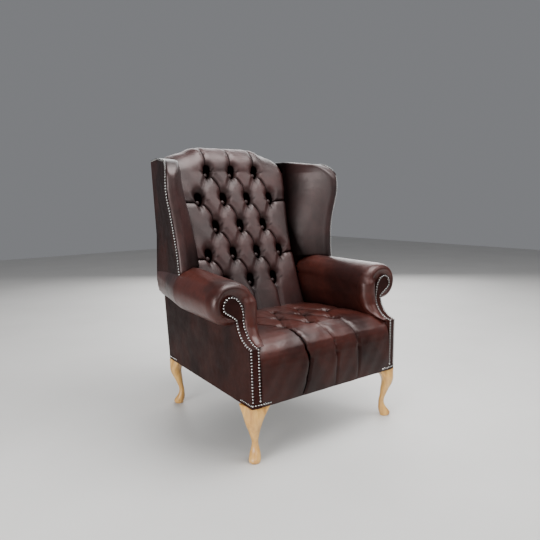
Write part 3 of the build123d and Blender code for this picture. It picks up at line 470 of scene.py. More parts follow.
class Fold:
    """A fold between two places of the pattern, bowed to one side.

    Over the fold the leather rolls under in a thin lip; below it the next pad rises at once.
    """

    def __init__(self, start, end, bow, above, below, depth, lip=0.3, fade=0.0, line=1.0):
        self.start, self.end = np.array(start), np.array(end)
        self.bow, self.above, self.below, self.depth = bow, above, below, depth
        self.lip, self.fade, self.line = lip, fade, line

    def shape(self, x, v):
        """Share of the pad's height left beside the fold, and the painted shade line along it."""
        along = self.end - self.start
        length = np.hypot(*along)
        along = along / length
        across = np.array([-along[1], along[0]])
        if across[1] < 0 or (abs(across[1]) < 1e-9 and across[0] < 0):
            across = -across
        dx, dv = x - self.start[0], v - self.start[1]
        t = dx * along[0] + dv * along[1]
        inside = np.clip(t, 0, length)
        share = inside / length
        beyond = np.abs(t - inside)
        off = dx * across[0] + dv * across[1] - self.bow * 4 * share * (1 - share)
        distance = np.hypot(off, beyond)
        climb = rising(distance, lip_width, self.above - lip_width)
        over = self.lip * (1 - bell(distance, lip_width)) + (1 - self.lip) * eased(climb)
        near = np.clip(distance / self.below, 0, 1)
        under = np.sqrt(1 - (1 - near) ** 2) if self.lip > 0 else eased(near)
        blend = 0.5 + 0.5 * np.tanh(off / (side_blur + beyond * end_blur))
        strength = self.depth * (1 - self.fade * np.sin(pi * share))
        rise = blend * over + (1 - blend) * under
        dark = self.line * strength * bell(distance, line_width)
        return 1 - strength * (1 - rise), dark


def tuft_depth(x, v, folds, buttons, fold_depth, pit_depth, tall=1.0, shade=1.0):
    """Depth below the crown and the painted shade over the pattern.

    The pits are round where tall is 0, and drawn up to a funnel where it is 1, with painted shade
    of gathers round each button's top and painted shade under it.
    """
    height = np.ones_like(x)
    painted_shade = np.zeros_like(x)
    for fold in folds:
        share, dark = fold.shape(x, v)
        height = height * share
        painted_shade = np.maximum(painted_shade, dark)
    pit, shadow, wrinkles, painted_gathers = (np.zeros_like(x) for _ in range(4))
    for number, (bx, bv) in enumerate(buttons):
        away, angle = np.hypot(x - bx, v - bv), np.arctan2(v - bv, x - bx)
        ring = bell(away - wrinkle_ring, wrinkle_width)
        waves = np.abs(np.sin(angle * wrinkle_count + number * wrinkle_turn))
        wrinkles = wrinkles + ring * waves * wrinkle_depth

        fan = np.arctan2(v - bv + gather_root, x - bx)
        gather_line_shade = np.abs(np.sin(fan * gather_count + number * gather_turn)) ** 3
        gather_line_shade = gather_line_shade * bell(away - gather_ring, gather_width)
        painted_gathers = np.maximum(painted_gathers, gather_line_shade * rising(v - bv, 0, gather_rise))
        under = bell(np.hypot(x - bx, v - bv + under_drop), under_width)
        painted_gathers = np.maximum(painted_gathers, under_shade * under)

        up = np.clip((v - bv) / pit_high, funnel_low, funnel_high) * tall
        dx = (x - bx) / (pit_wide * (1 - funnel_narrow * tall + funnel_widen * up))
        dv = (v - bv - pit_rise * tall) / (pit_wide + (pit_high - pit_wide) * tall)
        distance = np.hypot(dx, dv)
        pit = np.maximum(pit, bell(distance, pit_reach))
        core = np.exp(-((distance / core_reach) ** 5))
        shadow = np.maximum(shadow, core + halo_shade * bell(distance, halo_reach))
    fold_sink = (1 - height) * fold_depth
    sink = (fold_sink**3 + (pit * pit_depth) ** 3) ** (1 / 3) + wrinkles * (1 - tall)
    shadow = np.maximum(shadow, painted_gathers * gather_shade * tall) * shade + dip_shade * (1 - height)
    return sink, np.clip(np.maximum(painted_shade, shadow), 0, 1)


def edge_fall(x, half, radius):
    """Rounded fall of a pad at its two side edges."""
    share = rising(np.abs(x), half - radius, radius)
    return radius * (1 - np.sqrt(np.clip(1 - share**2, 0, 1)))


def soft_wave(x, v, size):
    """Slow unevenness of the stuffing."""
    wave = np.sin(x * 41 + 1.3) * np.sin(v * 33 + 0.4) + 0.6 * np.sin(x * 87 + v * 61 + 2.1)
    return wave * size


def row_buttons(count, v):
    return [((place - (count - 1) / 2) * button_pitch, v) for place in range(count)]


def diamond_folds(rows, strong, faint, start_shift=(0, 0), end_shift=(0, 0)):
    """Folds from every button to its two neighbours in the next row.

    The one to the lower right is the strong fold, the one to the lower left the faint one.
    """
    folds = []
    for upper, lower in zip(rows, rows[1:]):
        for ux, uv in upper:
            for lx, lv in lower:
                if abs(abs(ux - lx) - button_pitch / 2) > 0.001:
                    continue
                if lx > ux:
                    start = (ux + start_shift[0], uv + start_shift[1])
                    folds.append(Fold(start, (lx + end_shift[0], lv + end_shift[1]), **strong))
                else:
                    folds.append(Fold((ux, uv), (lx, lv), **faint))
    return folds


# Inside back with its rolled crest
back_rows = []
for number, count in enumerate(back_row_counts):
    back_rows.append(row_buttons(count, back_row_z - number * back_row_pitch))
back_buttons = [button for row in back_rows for button in row]

back_widest = 0.289
slope_stretch = 1.04
crest_length = 0.235
crest_calm = 0.35
back_fold_depth = 0.0125
back_button_sink = back_pit_depth + 0.006
back_side_fall = 0.032
# Depth of the side fall over which the painted shade grows to full
back_shade_fall = 0.011
back_crown = 0.003
back_wave = 0.0005
back_pad_depth = 0.045
back_half_passes, back_section_passes, crest_passes = 30, 14, 60
back_strong = {"bow": 0.009, "above": 0.036, "below": 0.026, "depth": 0.8, "lip": 0.72}
back_faint = {"bow": 0.004, "above": 0.026, "below": 0.028, "depth": 0.72, "lip": 0.0,
              "fade": 0.5, "line": 0.85}
fold_start_shift, fold_end_shift = (0.012, -0.004), (-0.008, 0.034)
crest_low = {"bow": 0.0, "above": 0.022, "below": 0.03, "depth": 0.75, "lip": 0.5}
crest_high = {"bow": 0.0, "above": 0.016, "below": 0.024, "depth": 0.42, "lip": 0.5, "line": 1.8}
back_side = {"bow": 0.002, "above": 0.05, "below": 0.024, "depth": 0.9, "lip": 0.6}
back_foot = {"bow": 0.0, "above": 0.024, "below": 0.02, "depth": 0.7}


def back_half(z):
    """Half width of the inside back between arms and wings."""
    heights = [back_row_z - number * back_row_pitch for number in (5, 4, 3, 2, 1, 0)]
    shares = (1.02, 0.994, 0.989, 0.999, 1.05, 1.111)
    return np.interp(z, heights, [share * inner_half_width for share in shares])


def crest_height(x):
    """Top line of the back: level in the middle, with a sweep down to the wings."""
    knots = (0, 0.4, 0.53, 0.66, 0.83, 1)
    shares = (1, 1, 0.93, 0.6, 0.36, 0)
    height = np.interp(np.abs(x) / crest_half_width, knots, shares)
    return crest_end_z + (crest_z - crest_end_z) * smoothed(height, crest_passes)


def back_folds():
    """Diamonds, pleats over the crest, folds to both sides and pleats down to the seat."""
    folds = diamond_folds(back_rows, back_strong, back_faint, fold_start_shift, fold_end_shift)
    for x, v in back_rows[0]:
        low, high, end = (x - 0.006, v + 0.034), (x * 1.02, v + 0.1), (x * 1.04, v + 0.27)
        folds += [Fold(low, high, **crest_low), Fold(high, end, **crest_high)]
    for row in (back_rows[1], back_rows[3]):
        for x, v in (row[0], row[-1]):
            folds.append(Fold((x, v), (0.30 if x > 0 else -0.30, v + 0.006), **back_side))
    for x, v in back_rows[4]:
        folds.append(Fold((x, v), (x * 1.02, back_low_z - 0.02), **back_foot))
    return folds


def make_back():
    """The back's reclined face and the roll over its crest, as one buttoned pad."""
    columns = int(2 * back_widest / grid_step)
    lower = int((back_join_z - back_low_z) * slope_stretch / grid_step)
    upper = int(crest_length / grid_step)
    share = np.linspace(-1, 1, columns)
    flat_z = np.linspace(back_low_z, back_join_z, lower, endpoint=False)
    turn = np.linspace(0, 1, upper)
    heights = np.concatenate([flat_z, np.full(upper, back_join_z)])
    v_line = np.concatenate([flat_z, back_join_z + turn * crest_length])
    half = np.where(v_line < back_join_z, back_half(heights), crest_half_width)
    half = smoothed(half, back_half_passes)[:, None]
    x = share[None, :] * half
    v = np.repeat(v_line[:, None], columns, axis=1)
    y, z = np.zeros_like(x), np.zeros_like(x)
    z[:lower] = flat_z[:, None]
    y[:lower] = pit_y(z[:lower]) - back_pit_depth
    top = crest_height(share * crest_half_width)
    front = pit_y(back_join_z) - back_pit_depth
    for column in range(columns):
        high = top[column]
        low_end = high - crest_drop
        tail = (outer_back_y(low_end) - back_panel, low_end)
        arc = circle_through((front, back_join_z), (crest_y, high), tail)
        cy, cz, radius, start, end = arc
        angle = start + (end - start) * turn
        y[lower:, column] = cy + radius * np.cos(angle)
        z[lower:, column] = cz + radius * np.sin(angle)
    y = np.apply_along_axis(smoothed, 0, y, back_section_passes)
    z = np.apply_along_axis(smoothed, 0, z, back_section_passes)
    dy, dz = np.gradient(y, axis=0), np.gradient(z, axis=0)
    size = np.hypot(dy, dz)
    normal_y, normal_z = -dz / size, dy / size
    sink, painted_shade = tuft_depth(x, v, back_folds(), back_buttons, back_fold_depth, back_button_sink)
    fall = edge_fall(x, half, back_side_fall)
    sink = sink * (1 - crest_calm * (v > back_join_z)) + fall + soft_wave(x, v, back_wave)
    rise = back_crown - sink
    outer = np.stack([x, y + normal_y * rise, z + normal_z * rise], axis=-1)
    inner = np.stack([x, y - normal_y * back_pad_depth, z - normal_z * back_pad_depth], axis=-1)
    # Painted shade where the pad falls away at its sides into the crease against the wings
    edge = np.clip(fall / back_shade_fall, 0, 1)
    obj = padded_sheet("visual_inside_back", outer, inner, np.maximum(painted_shade, edge), leather_back)
    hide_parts("inside_back_cover")


# Fixed seat with its front border
seat_line = [
    (seat_rear_y, 0.402), (0.05, 0.405), (0.0, 0.408), (-0.047, 0.412), (-0.157, 0.414),
    (-0.23, 0.414), (-0.267, 0.4125), (-0.300, 0.408), (-0.330, 0.399), (-0.355, 0.386),
    (-0.373, 0.369), (-0.3825, 0.348), (-0.3865, 0.320), (-0.3885, 0.280), (-0.3880, 0.240),
    (-0.3860, 0.207), (-0.3840, seat_foot_z),
]
seat_pleats = (
    ((-0.120, -0.267, 0.4125), (-0.114, -0.340, 0.395), (-0.106, -0.3825, 0.350),
     (-0.097, -0.387, 0.314), (-0.111, -0.388, 0.250), (-0.130, -0.386, 0.200)),
    ((0.0, -0.267, 0.4125), (0.016, -0.340, 0.395), (0.028, -0.3825, 0.350),
     (0.030, -0.387, 0.314), (0.020, -0.386, 0.205)),
    ((0.120, -0.267, 0.4125), (0.132, -0.340, 0.395), (0.139, -0.3825, 0.350),
     (0.139, -0.387, 0.314), (0.132, -0.386, 0.205)),
)
# Strength of each pleat and of the painted shade line in it
pleat_looks = ((1.0, 1.0), (0.5, 0.3), (0.5, 0.3))
pleat_fade = 0.12
seat_soft = {"bow": 0.003, "above": 0.034, "below": 0.030, "depth": 0.85, "lip": 0.25, "line": 0.7}
seat_side = {"bow": 0.0, "above": 0.035, "below": 0.035, "depth": 0.5, "line": 0.3}
seat_side_x = 0.29
pleat_form = {"bow": 0.0, "above": 0.014, "below": 0.02, "lip": 0.4}

border_half_width = 0.3085
seat_top_z = 0.36
seat_fold_depth = 0.0115
seat_shade = 0.6
seat_side_fall, border_side_fall, side_fall_y = 0.02, 0.005, -0.33
# Depth of the side fall over which the painted shade grows to full
seat_shade_fall = 0.014
seat_bulge = 0.004
seat_wave = 0.0007
seat_pad_depth = 0.035
seat_section_passes, seat_half_passes, seat_fall_passes, seat_bulge_passes = 16, 10, 20, 30
border_relief, foot_calm_z, foot_calm_width = 0.4, 0.21, 0.05
seat_painted_shade_share = 0.8
# Painted shade on the front border, darker towards its foot
border_shade, border_shade_z, border_shade_width = 0.44, 0.383, 0.06


def seat_curve(step):
    """Section of the seat from the back to the foot of the border, in even steps."""
    points = np.array(seat_line)
    steps = np.hypot(*np.diff(points, axis=0).T)
    length = np.concatenate([[0], np.cumsum(steps)])
    count = int(length[-1] / step)
    even = np.linspace(0, length[-1], count)
    y = smoothed(np.interp(even, length, points[:, 0]), seat_section_passes)
    z = smoothed(np.interp(even, length, points[:, 1]), seat_section_passes)
    return even, y, z


def seat_half(y, z):
    """Half width of the seat where it meets the arms' padding and the pillars."""
    along = (-0.386, -0.372, -0.352, -0.338, -0.320, -0.300, -0.267, 0.104)
    halves = (0.3085, 0.3085, 0.307, 0.301, 0.291, 0.281, 0.271, 0.266)
    return np.where(z < seat_edge_z, border_half_width, np.interp(y, along, halves))


def seat_folds(rows, along):
    """Diamonds, folds to both sides and to the rear, and the pleats over the front."""
    folds = diamond_folds(rows, seat_soft, seat_soft)
    for x, v in (rows[1][0], rows[1][-1]):
        folds.append(Fold((x, v), (seat_side_x if x > 0 else -seat_side_x, v), **seat_side))
    for x, v in rows[2]:
        folds.append(Fold((x, v), (x, 0.0), **seat_side))
    for pleat, (strength, line) in zip(seat_pleats, pleat_looks):
        places = [(x, along(y, z)) for x, y, z in pleat]
        for number, (start, end) in enumerate(zip(places, places[1:])):
            depth = strength * (1 - pleat_fade * number)
            folds.append(Fold(start, end, depth=depth, line=line, **pleat_form))
    return folds


def make_seat():
    """The seat's buttoned top and its pleated front border, as one pad."""
    even, y_line, z_line = seat_curve(grid_step)

    def along(y, z):
        return even[np.argmin(np.hypot(y_line - y, z_line - z))]

    rows = []
    for number, count in enumerate(seat_row_counts):
        y = seat_row_y + number * seat_row_pitch
        rows.append(row_buttons(count, along(y, seat_crown_z)))
    buttons = [button for row in rows for button in row]
    half = smoothed(seat_half(y_line, z_line), seat_half_passes)[:, None]
    columns = int(2 * border_half_width / grid_step)
    share = np.linspace(-1, 1, columns)
    x = share[None, :] * half
    v = np.repeat(even[:, None], columns, axis=1)
    y = np.repeat(y_line[:, None], columns, axis=1)
    z = np.repeat(z_line[:, None], columns, axis=1)
    dy, dz = np.gradient(y, axis=0), np.gradient(z, axis=0)
    size = np.hypot(dy, dz)
    normal_y, normal_z = dz / size, -dy / size
    folds = seat_folds(rows, along)
    sink, painted_shade = tuft_depth(
        x, v, folds, buttons, seat_fold_depth, seat_pit_depth, tall=0.0, shade=seat_shade)
    front = rising(z_line, foot_calm_z, foot_calm_width)[:, None]
    radius = np.where(y_line > side_fall_y, seat_side_fall, border_side_fall)
    fall = edge_fall(x, half, smoothed(radius, seat_fall_passes)[:, None])
    bulge = seat_bulge * np.cos(np.clip(share, -1, 1) * pi / 2)[None, :]
    bulge = bulge * (z_line > seat_top_z)[:, None]
    bulge = np.apply_along_axis(smoothed, 0, bulge, seat_bulge_passes)
    sink = sink * np.where(z > seat_top_z, 1, border_relief + (1 - border_relief) * front)
    rise = bulge - sink - fall + soft_wave(x, v, seat_wave)
    outer = np.stack([x, y + normal_y * rise, z + normal_z * rise], axis=-1)
    inner = np.stack([x, y - normal_y * seat_pad_depth, z - normal_z * seat_pad_depth], axis=-1)
    # Painted shade where the seat falls away at its sides against the arms and pillars
    edge = np.clip(fall / seat_shade_fall, 0, 1)
    # Painted shade of the folds, the side falls and the lower border together
    border = border_shade * falling(z, border_shade_z, border_shade_width)
    seat_painted_shade = np.clip(np.maximum(painted_shade * seat_painted_shade_share, edge) + border, 0, 1)
    obj = padded_sheet("visual_seat", outer, inner, seat_painted_shade, leather_worn)
    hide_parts("seat_cover")


# Buttons
button_flatness = 0.5
back_button_lift, seat_button_lift = 0.0015, 0.002


def make_buttons(name, places, node, material, painted_shade):
    """Covered buttons, flattened balls at places that face along a normal."""
    tool = bmesh.new()
    squash = Matrix.Diagonal((1, 1, button_flatness, 1))
    for centre, normal in places:
        turn = Vector(normal).to_track_quat("Z", "Y").to_matrix().to_4x4()
        matrix = Matrix.Translation(Vector(centre)) @ turn @ squash
        bmesh.ops.create_uvsphere(
            tool, u_segments=20, v_segments=12, radius=button_radius, matrix=matrix)
    mesh = mesh_from_tool(name, tool)
    add_painted_shade(mesh, np.full(len(mesh.vertices), painted_shade))
    obj = add_piece(name, mesh, material)
    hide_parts(node)


def back_button_places():
    for x, z in back_buttons:
        yield (x, pit_y(z) - back_button_lift, z), (0, -1, recline)


def seat_button_places():
    z = seat_crown_z - seat_pit_depth + seat_button_lift
    for number, count in enumerate(seat_row_counts):
        for x, y in row_buttons(count, seat_row_y + number * seat_row_pitch):
            yield (x, y, z), (0, 0, 1)


# Wings: outline of the outside panel and the puffed inner face
wing_bottom_z, wing_rear_top_z, wing_base_x, wing_base_y = 0.560, 1.018, 0.376, 0.004
wing_flare, wing_waist, wing_corner_z, wing_front_top_z = 0.040, 0.016, 0.940, 1.003
wing_foot_y, wing_foot_z, wing_foot_step = 0.333, 0.530, 0.026
wing_puff, puff_low_z, puff_low_width, puff_high_width = 0.016, 0.55, 0.06, 0.05
wing_inner_start, wing_inner_width = 0.012, 0.02
# Painted shade: start or end, width and how dark
wing_back_shade, wing_arm_shade = (0.2, 0.6, 0.75), (0.76, 0.16, 0.5)
wing_top_shade, wing_deepest_shade = (0.955, 0.04, 0.3), 0.78
# Share of the height, of the flare and of the waist along the front edge
wing_shares = (
    (0, 0, 0), (0.22, 0.06, 0.7), (0.36, 0.2, 1), (0.47, 0.4, 1), (0.57, 0.63, 0.8),
    (0.67, 0.9, 0.55), (0.74, 1, 0.5), (0.82, 0.97, 0.6), (0.9, 0.86, 0.8), (1, 0.7, 1),
)


def wing_front(z):
    """Front edge of the wing's outside panel at a height."""
    rise = wing_rear_top_z - wing_bottom_z
    heights = [wing_bottom_z + rise * share[0] for share in wing_shares]
    x = np.interp(z, heights, [wing_base_x + wing_flare * share[1] for share in wing_shares])
    y = np.interp(z, heights, [wing_base_y + wing_waist * share[2] for share in wing_shares])
    return x, y


def wing_rear_x(z):
    """Rear edge of the wing's outside panel at a height."""
    low = side_x(wing_foot_y, wing_foot_z) + wing_foot_step
    high = side_x(rear_y, wing_rear_top_z)
    return low + (high - low) * rising(z, wing_foot_z, (wing_rear_top_z - wing_bottom_z) / 2.5)


def wing_face_x(y, z):
    """Outer face of the wing's outside panel."""
    x, start = wing_front(z)
    rear = outer_back_y(z) - back_panel
    return x + (wing_rear_x(z) - x) * (y - start) / (rear - start)


def wing_inside(points):
    """Share of the way from the wing's front edge to the back, and 1 on its inner face only."""
    x, y, z = points.T
    front = wing_front(z)[1]
    across = np.clip((y - front) / (pit_y(z) - front), 0, 1)
    return across, rising(wing_face_x(y, z) - np.abs(x), wing_inner_start, wing_inner_width)


def puff_wing(points):
    """Inner face of the wing, puffed between the back and the wing's front roll."""
    x, _, z = points.T
    across, inner = wing_inside(points)
    up = rising(z, puff_low_z, puff_low_width) * falling(z, wing_rear_top_z, puff_high_width)
    points[:, 0] = x - np.sign(x) * wing_puff * np.sin(pi * across) * up * inner
    return points


def wing_painted_shade(points):
    """Painted shade where the wing runs into the back and down to the arm, and a little over its
    top.
    """
    z = points[:, 2]
    across, inner = wing_inside(points)
    painted_darkening = rising(across, *wing_back_shade) + falling(z, *wing_arm_shade)
    return np.maximum(np.minimum(painted_darkening, wing_deepest_shade) * inner, rising(z, *wing_top_shade))


# Arms: the nose is the lower end of the padded front, between the pillar and the seat
nose_outer_x, nose_front_x, nose_top_z = 0.309, 0.3115, 0.445
nose_rear_y, nose_length = -0.29, 0.04
nose_inner_x = ((0.374, 0.386, 0.400, 0.430), (0.309, 0.293, 0.277, 0.262))
nose_front_y = ((0.372, 0.390, 0.404), (-0.335, -0.374, -0.42))
# Painted shade on the arm's inner face: start or end, width and how dark, and the most of it
arm_back_shade, arm_seat_shade, arm_deepest_shade = (0.0, 0.16, 0.5), (0.455, 0.05, 0.4), 0.6
arm_inner_x, arm_inner_width, arm_shade_y, arm_shade_length = 0.305, 0.02, -0.30, 0.05


def taper_nose(points):
    """The nose drawn to a point where it meets the seat's corner."""
    x, y, z = points.T
    front = falling(y, nose_rear_y, nose_length)
    narrow = np.interp(z, *nose_inner_x)
    wide = np.maximum(np.abs(x), np.minimum(narrow, nose_outer_x))
    inside = (np.abs(x) < nose_outer_x) & (z < nose_top_z)
    points[:, 0] = np.where(inside, np.sign(x) * (np.abs(x) + (wide - np.abs(x)) * front), x)
    limit = np.interp(z, *nose_front_y)
    points[:, 1] = np.where(np.abs(x) < nose_front_x, np.maximum(y, limit), y)
    return points


def arm_painted_shade(points):
    """Painted shade on the arm's inner face towards the back and the seat."""
    x, y, z = points.T
    inner = falling(np.abs(x), arm_inner_x, arm_inner_width)
    painted_darkening = np.minimum(rising(y, *arm_back_shade) + falling(z, *arm_seat_shade), arm_deepest_shade)
    return painted_darkening * inner * rising(y, arm_shade_y, arm_shade_length)


arm_passes, arm_swell = 16, 0.0016
wing_passes, wing_swell = 14, 0.0014


def remeshed(name, sources, material, passes, swell, shape, painted_darkening):
    """One smooth pad from a cover and the padding under it."""
    tool = bmesh.new()
    for source in sources:
        tool.from_mesh(nodes[source].data)
    obj = bpy.data.objects.new(name, mesh_from_tool(name, tool))
    bpy.context.scene.collection.objects.link(obj)
    remesh = obj.modifiers.new("remesh", "REMESH")
    remesh.mode = "VOXEL"
    remesh.voxel_size = voxel
    remesh.use_smooth_shade = True
    soften = obj.modifiers.new("soften", "SMOOTH")
    soften.factor = 0.5
    soften.iterations = passes
    push = obj.modifiers.new("swell", "DISPLACE")
    push.strength = swell
    push.mid_level = 0.0
    graph = bpy.context.evaluated_depsgraph_get()
    mesh = bpy.data.meshes.new_from_object(obj.evaluated_get(graph))
    bpy.data.objects.remove(obj)
    points = np.empty(len(mesh.vertices) * 3)
    mesh.vertices.foreach_get("co", points)
    points = shape(points.reshape(-1, 3))
    mesh.vertices.foreach_set("co", points.ravel())
    add_painted_shade(mesh, painted_darkening(points))
    piece = add_piece(name, mesh, material)
    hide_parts(*sources)


# Nails
# Painted shade on the lower part of each nail head, darkest at its rim
rim_height, rim_width = 0.5, 0.3


def even_points(path, pitch):
    """Points a nail's pitch apart along a line of points, with both ends."""
    points = np.array(path, float)
    steps = np.linalg.norm(np.diff(points, axis=0), axis=1)
    length = np.concatenate([[0], np.cumsum(steps)])
    count = max(2, int(round(length[-1] / pitch)) + 1)
    places = np.linspace(0, length[-1], count)
    return [tuple(np.interp(place, length, line) for line in points.T) for place in places]


def make_nails(name, rows, node):
    """Rows of domed nail heads: each row is a path and the normal at a place of it."""
    tool = bmesh.new()
    rim_shade = []
    squash = Matrix.Diagonal((1, 1, nail_rise / nail_radius, 1))
    for path, facing in rows:
        for place in even_points(path, nail_pitch):
            normal = Vector(facing(place)).normalized()
            turn = normal.to_track_quat("Z", "Y").to_matrix().to_4x4()
            matrix = Matrix.Translation(place) @ turn @ squash
            head = bmesh.ops.create_uvsphere(
                tool, u_segments=14, v_segments=8, radius=nail_radius, matrix=matrix)
            # Painted shade meant for the rims, but the joined mesh has another order, so heads
            # darken unevenly
            for vertex in head["verts"]:
                height = (vertex.co - Vector(place)).dot(normal) / nail_rise
                rim_shade.append(max(0.0, min(1.0, (rim_height - height) / rim_width)))
    mesh = mesh_from_tool(name, tool)
    add_painted_shade(mesh, rim_shade)
    obj = add_piece(name, mesh, nickel)
    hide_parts(node)


def cove_y(z):
    """Front face of pillar, cove and neck at a height."""
    face = front_y - pillar_splay
    if z >= cove_z:
        return neck_y
    below = cove_radius**2 - (cove_z - z) ** 2
    if below <= 0:
        return face
    return max(face, neck_y - cove_radius + sqrt(below))


def cove_normal(place):
    _, y, z = place
    if z >= cove_z:
        return (0, -1, 0)
    if z <= cove_z - cove_radius * 0.99:
        return (pillar_splay / facing_width, -1, 0)
    return (0, neck_y - cove_radius - y, cove_z - z)


def pillar_point(gap, z, side):
    """Point of the facing's face, a gap inside its outer edge."""
    x = side_x(front_y, z) - gap
    y = cove_y(z)
    if z < cove_z - cove_radius * 0.9:
        y = max(y, front_y - pillar_splay * gap / facing_width)
    return (side * x, y, z)


# Drop-shaped head of the facing
head_lip = 0.0025
head_depth = 0.012
head_foot_z = 0.473
head_step = 0.004
head_angles = np.linspace(-25, 90, 24)
# Shares of the way back from the scroll's top to the neck's inner side
neck_shares = ((0.8, 0.975), (0.58, 0.9), (0.42, 0.815), (0.3, 0.72), (0.2, 0.615),
               (0.12, 0.5), (0.03, 0.25))


def head_line(inset):
    """From the neck's outer side over the scroll to the neck's inner side."""
    outer_x = side_x(front_y, cove_z) + head_step - inset
    inner_x = side_x(front_y, cove_z) - facing_width + inset
    disc = scroll_radius - inset
    line = [(outer_x, head_foot_z + inset / 2)]
    for angle in head_angles:
        x, z = disc * cos(radians(angle)), disc * sin(radians(angle))
        line.append((scroll_x + x, scroll_z + z))
    high, wide = scroll_z + disc - cove_z, scroll_x - inner_x
    line += [(inner_x + wide * x, cove_z + high * z) for x, z in neck_shares]
    return line


def make_facing_head(name, side):
    """Leather over the facing's head, a thin plate under the nails."""
    line = head_line(0) + [(side_x(front_y, cove_z) - facing_width, head_foot_z)]
    count = len(line)
    front = [(side * x, neck_y - head_lip, z) for x, z in line]
    back = [(side * x, neck_y + head_depth, z) for x, z in line]
    loop = list(range(count))
    faces = [loop, [count + i for i in reversed(loop)]]
    for i in loop:
        j = (i + 1) % count
        faces.append([j, i, count + i, count + j])
    mesh = mesh_from_faces(name, front + back, faces)
    obj = add_piece(name, mesh, leather_side)
    for polygon in obj.data.polygons:
        polygon.use_smooth = False


pillar_top_z = 0.386
nail_margin = 0.0004
nail_step = 0.012


def arm_nail_path(side):
    """Up the pillar's outer edge, round the head and down the inner edge."""
    gap = nail_radius + nail_margin
    low = foot_nail_z + nail_step
    cove = cove_z - cove_radius * np.cos(np.linspace(0.14, 1.5, 14))
    heights = np.concatenate([np.linspace(low, pillar_top_z, 20), cove])
    path = [pillar_point(gap, z, side) for z in heights]
    path += [(side * x, neck_y - head_lip, z) for x, z in head_line(gap)]
    path += [pillar_point(facing_width - gap, z, side) for z in heights[::-1]]
    return path


wing_nail_lift = 0.001
wing_nail_inset = nail_radius * 0.3
wing_nail_x, wing_nail_y, wing_nail_turn = 0.72, 0.7, 0.05
shoulder_y, climb_y = wing_base_y + 6 * wing_waist, wing_base_y + 14 * wing_waist
corner_y = wing_base_y + wing_waist * 1.7
corner_rise = (wing_front_top_z - wing_corner_z) * 0.6


def wing_nail_normal(place):
    """Heads on the wing's edge face half to the front, and half up along its top."""
    x, _, z = place
    top = min(1, max(0, (z - wing_corner_z) / wing_nail_turn))
    return (wing_nail_x if x > 0 else -wing_nail_x, -wing_nail_y * (1 - top), wing_nail_y * top)


def wing_nail_path(side):
    """Up the wing's front edge, round its corner and back along its top edge."""
    gap = wing_nail_inset
    path = []
    for z in np.linspace(wing_bottom_z + nail_step, wing_corner_z, 40):
        x, y = wing_front(z)
        path.append((x, y + gap, z))
    shoulder = (shoulder_y, wing_front_top_z - gap)
    bend = (corner_y + gap * 0.7, wing_corner_z + corner_rise - gap * 0.7)
    start = (path[-1][1], wing_corner_z)
    cy, cz, radius, first, last = circle_through(start, bend, shoulder)
    first = first if first < 1.5 * pi else first - 2 * pi
    for angle in np.linspace(first, last, 12)[1:]:
        y, z = cy + radius * cos(angle), cz + radius * sin(angle)
        path.append((wing_face_x(y, z), y, z))
    climb = (climb_y, wing_rear_top_z - gap)
    for share in np.linspace(0, 1, 10)[1:]:
        y = shoulder[0] + (climb[0] - shoulder[0]) * share
        z = shoulder[1] + (climb[1] - shoulder[1]) * share
        path.append((wing_face_x(y, z), y, z))
    end_y = outer_back_y(climb[1]) - back_panel - gap
    path.append((wing_face_x(end_y, climb[1]), end_y, climb[1]))
    return [(side * (x + wing_nail_lift), y, z) for x, y, z in path]


pillar_nail_lift, border_nail_lift, side_nail_lean = 0.001, 0.0015, 0.1


def foot_nail_rows():
    """Short rows over the legs, on the sides, under the pillars and on the seat's border."""
    rows = []
    z = foot_nail_z
    face = front_y - pillar_splay
    outer = side_x(front_y, z)
    inner = outer - facing_width
    for side in (-1, 1):
        lean = (side, side_nail_lean, 0)
        front = (front_y + nail_radius, front_y + foot_nail_length)
        rear = (rear_y - foot_nail_length, rear_y - nail_radius)
        for ends in (front, rear):
            path = [(side * side_x(y, z), y, z) for y in ends]
            rows.append((path, lambda place, lean=lean: lean))
        pillar = [(side * (outer - nail_radius), front_y - pillar_nail_lift, z),
                  (side * inner, face, z)]
        rows.append((pillar, lambda place: (0, -1, 0)))
        border_y = face - border_nail_lift
        border = [(side * (inner - nail_pitch), border_y, z),
                  (side * (inner - foot_nail_length / 2), border_y, z)]
        rows.append((border, lambda place: (0, -1, 0)))
    return rows


make_back()
make_seat()
# The buttons sit deep in their pits: painted shade darkens them and takes their sheen
make_buttons("visual_back_buttons", back_button_places(), "back_buttons", leather_back, 0.42)
make_buttons("visual_seat_buttons", seat_button_places(), "seat_buttons", leather_worn, 0.3)
for hand, side in (("left", -1), ("right", 1)):
    arm = [f"inside_arm_cover_{hand}", f"arm_padding_{hand}"]
    remeshed(f"visual_arm_{hand}", arm, leather_worn, arm_passes, arm_swell, taper_nose, arm_painted_shade)
    wing = [f"inside_wing_cover_{hand}", f"wing_padding_{hand}"]
    remeshed(
        f"visual_wing_{hand}", wing, leather_back, wing_passes, wing_swell, puff_wing, wing_painted_shade)
    make_facing_head(f"visual_facing_head_{hand}", side)
    arm_rows = [(arm_nail_path(side), cove_normal)]
    make_nails(f"visual_arm_nails_{hand}", arm_rows, f"arm_nail_strip_{hand}")
    wing_rows = [(wing_nail_path(side), wing_nail_normal)]
    make_nails(f"visual_wing_nails_{hand}", wing_rows, f"wing_nail_strip_{hand}")
make_nails("visual_foot_nails", foot_nail_rows(), "leg_nail_strips")

# Floor, light and camera
photo_pixels = 540
photo_focal_pixels = 558.1
camera_place = (-1.332, -1.771, 0.868)
camera_yaw, camera_pitch, camera_roll = 37.54, 7.55, -0.88


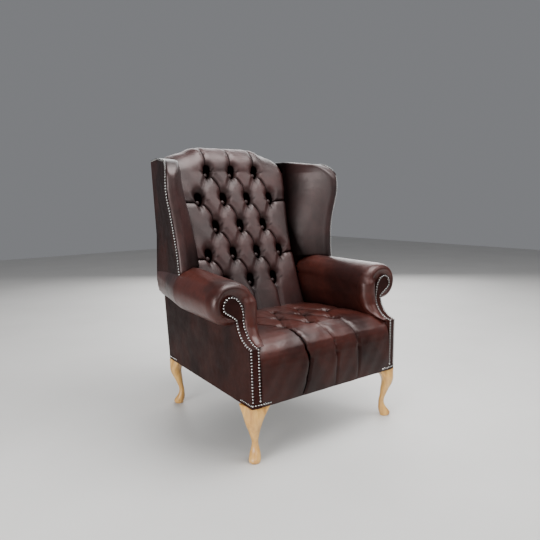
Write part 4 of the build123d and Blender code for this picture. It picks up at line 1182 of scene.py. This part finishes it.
def make_stage():
    bpy.ops.mesh.primitive_plane_add(size=14, location=(0, 0, 0))
    floor = bpy.context.object
    floor.name = "floor"
    material, tree, shader, coords = new_material("floor")
    greys = [(0.3, (0.60, 0.59, 0.57)), (0.7, (0.64, 0.63, 0.61))]
    tree.links.new(ramp(tree, noise(tree, coords, 2.0), greys), shader.inputs["Base Color"])
    shader.inputs["Roughness"].default_value = 0.6
    floor.data.materials.append(material)


def make_world():
    world = bpy.data.worlds.new("studio")
    world.use_nodes = True
    background = world.node_tree.nodes["Background"]
    background.inputs["Color"].default_value = (0.93, 0.95, 1.0, 1.0)
    background.inputs["Strength"].default_value = 0.22
    bpy.context.scene.world = world


def area_light(name, place, target, size, power):
    light = bpy.data.lights.new(name, "AREA")
    light.shape = "RECTANGLE"
    light.size, light.size_y = size
    light.energy = power
    obj = bpy.data.objects.new(name, light)
    obj.location = place
    obj.rotation_euler = (Vector(target) - Vector(place)).to_track_quat("-Z", "Y").to_euler()
    bpy.context.scene.collection.objects.link(obj)


def make_camera():
    """Camera fitted to the photograph."""
    yaw, pitch, roll = radians(camera_yaw), radians(camera_pitch), radians(camera_roll)
    forward = Vector((sin(yaw) * cos(pitch), cos(yaw) * cos(pitch), -sin(pitch)))
    right = Vector((cos(yaw), -sin(yaw), 0))
    up = right.cross(forward)
    right, up = cos(roll) * right + sin(roll) * up, -sin(roll) * right + cos(roll) * up
    data = bpy.data.cameras.new("camera")
    data.sensor_width = 36
    data.lens = photo_focal_pixels / photo_pixels * data.sensor_width
    camera = bpy.data.objects.new("camera", data)
    turn = Matrix((right, up, -forward)).transposed().to_4x4()
    camera.matrix_world = Matrix.Translation(camera_place) @ turn
    bpy.context.scene.collection.objects.link(camera)
    bpy.context.scene.camera = camera


make_stage()
make_world()
area_light("window_left", (-3.0, -1.0, 1.05), (0.1, 0, 0.65), size=(1.7, 1.5), power=88)
area_light("front_left", (-1.2, -3.2, 2.2), (0, 0, 0.6), size=(1.4, 1.2), power=24)
area_light("front_right", (1.9, -2.2, 2.5), (0, 0.1, 0.7), size=(2.2, 1.8), power=34)
area_light("pale_wall", (2.1, 2.4, 1.9), (0, 0, 0.6), size=(3.4, 2.8), power=120)
area_light("overhead", (0.4, -0.6, 3.0), (0, 0, 0.5), size=(2.2, 2.0), power=135)
make_camera()
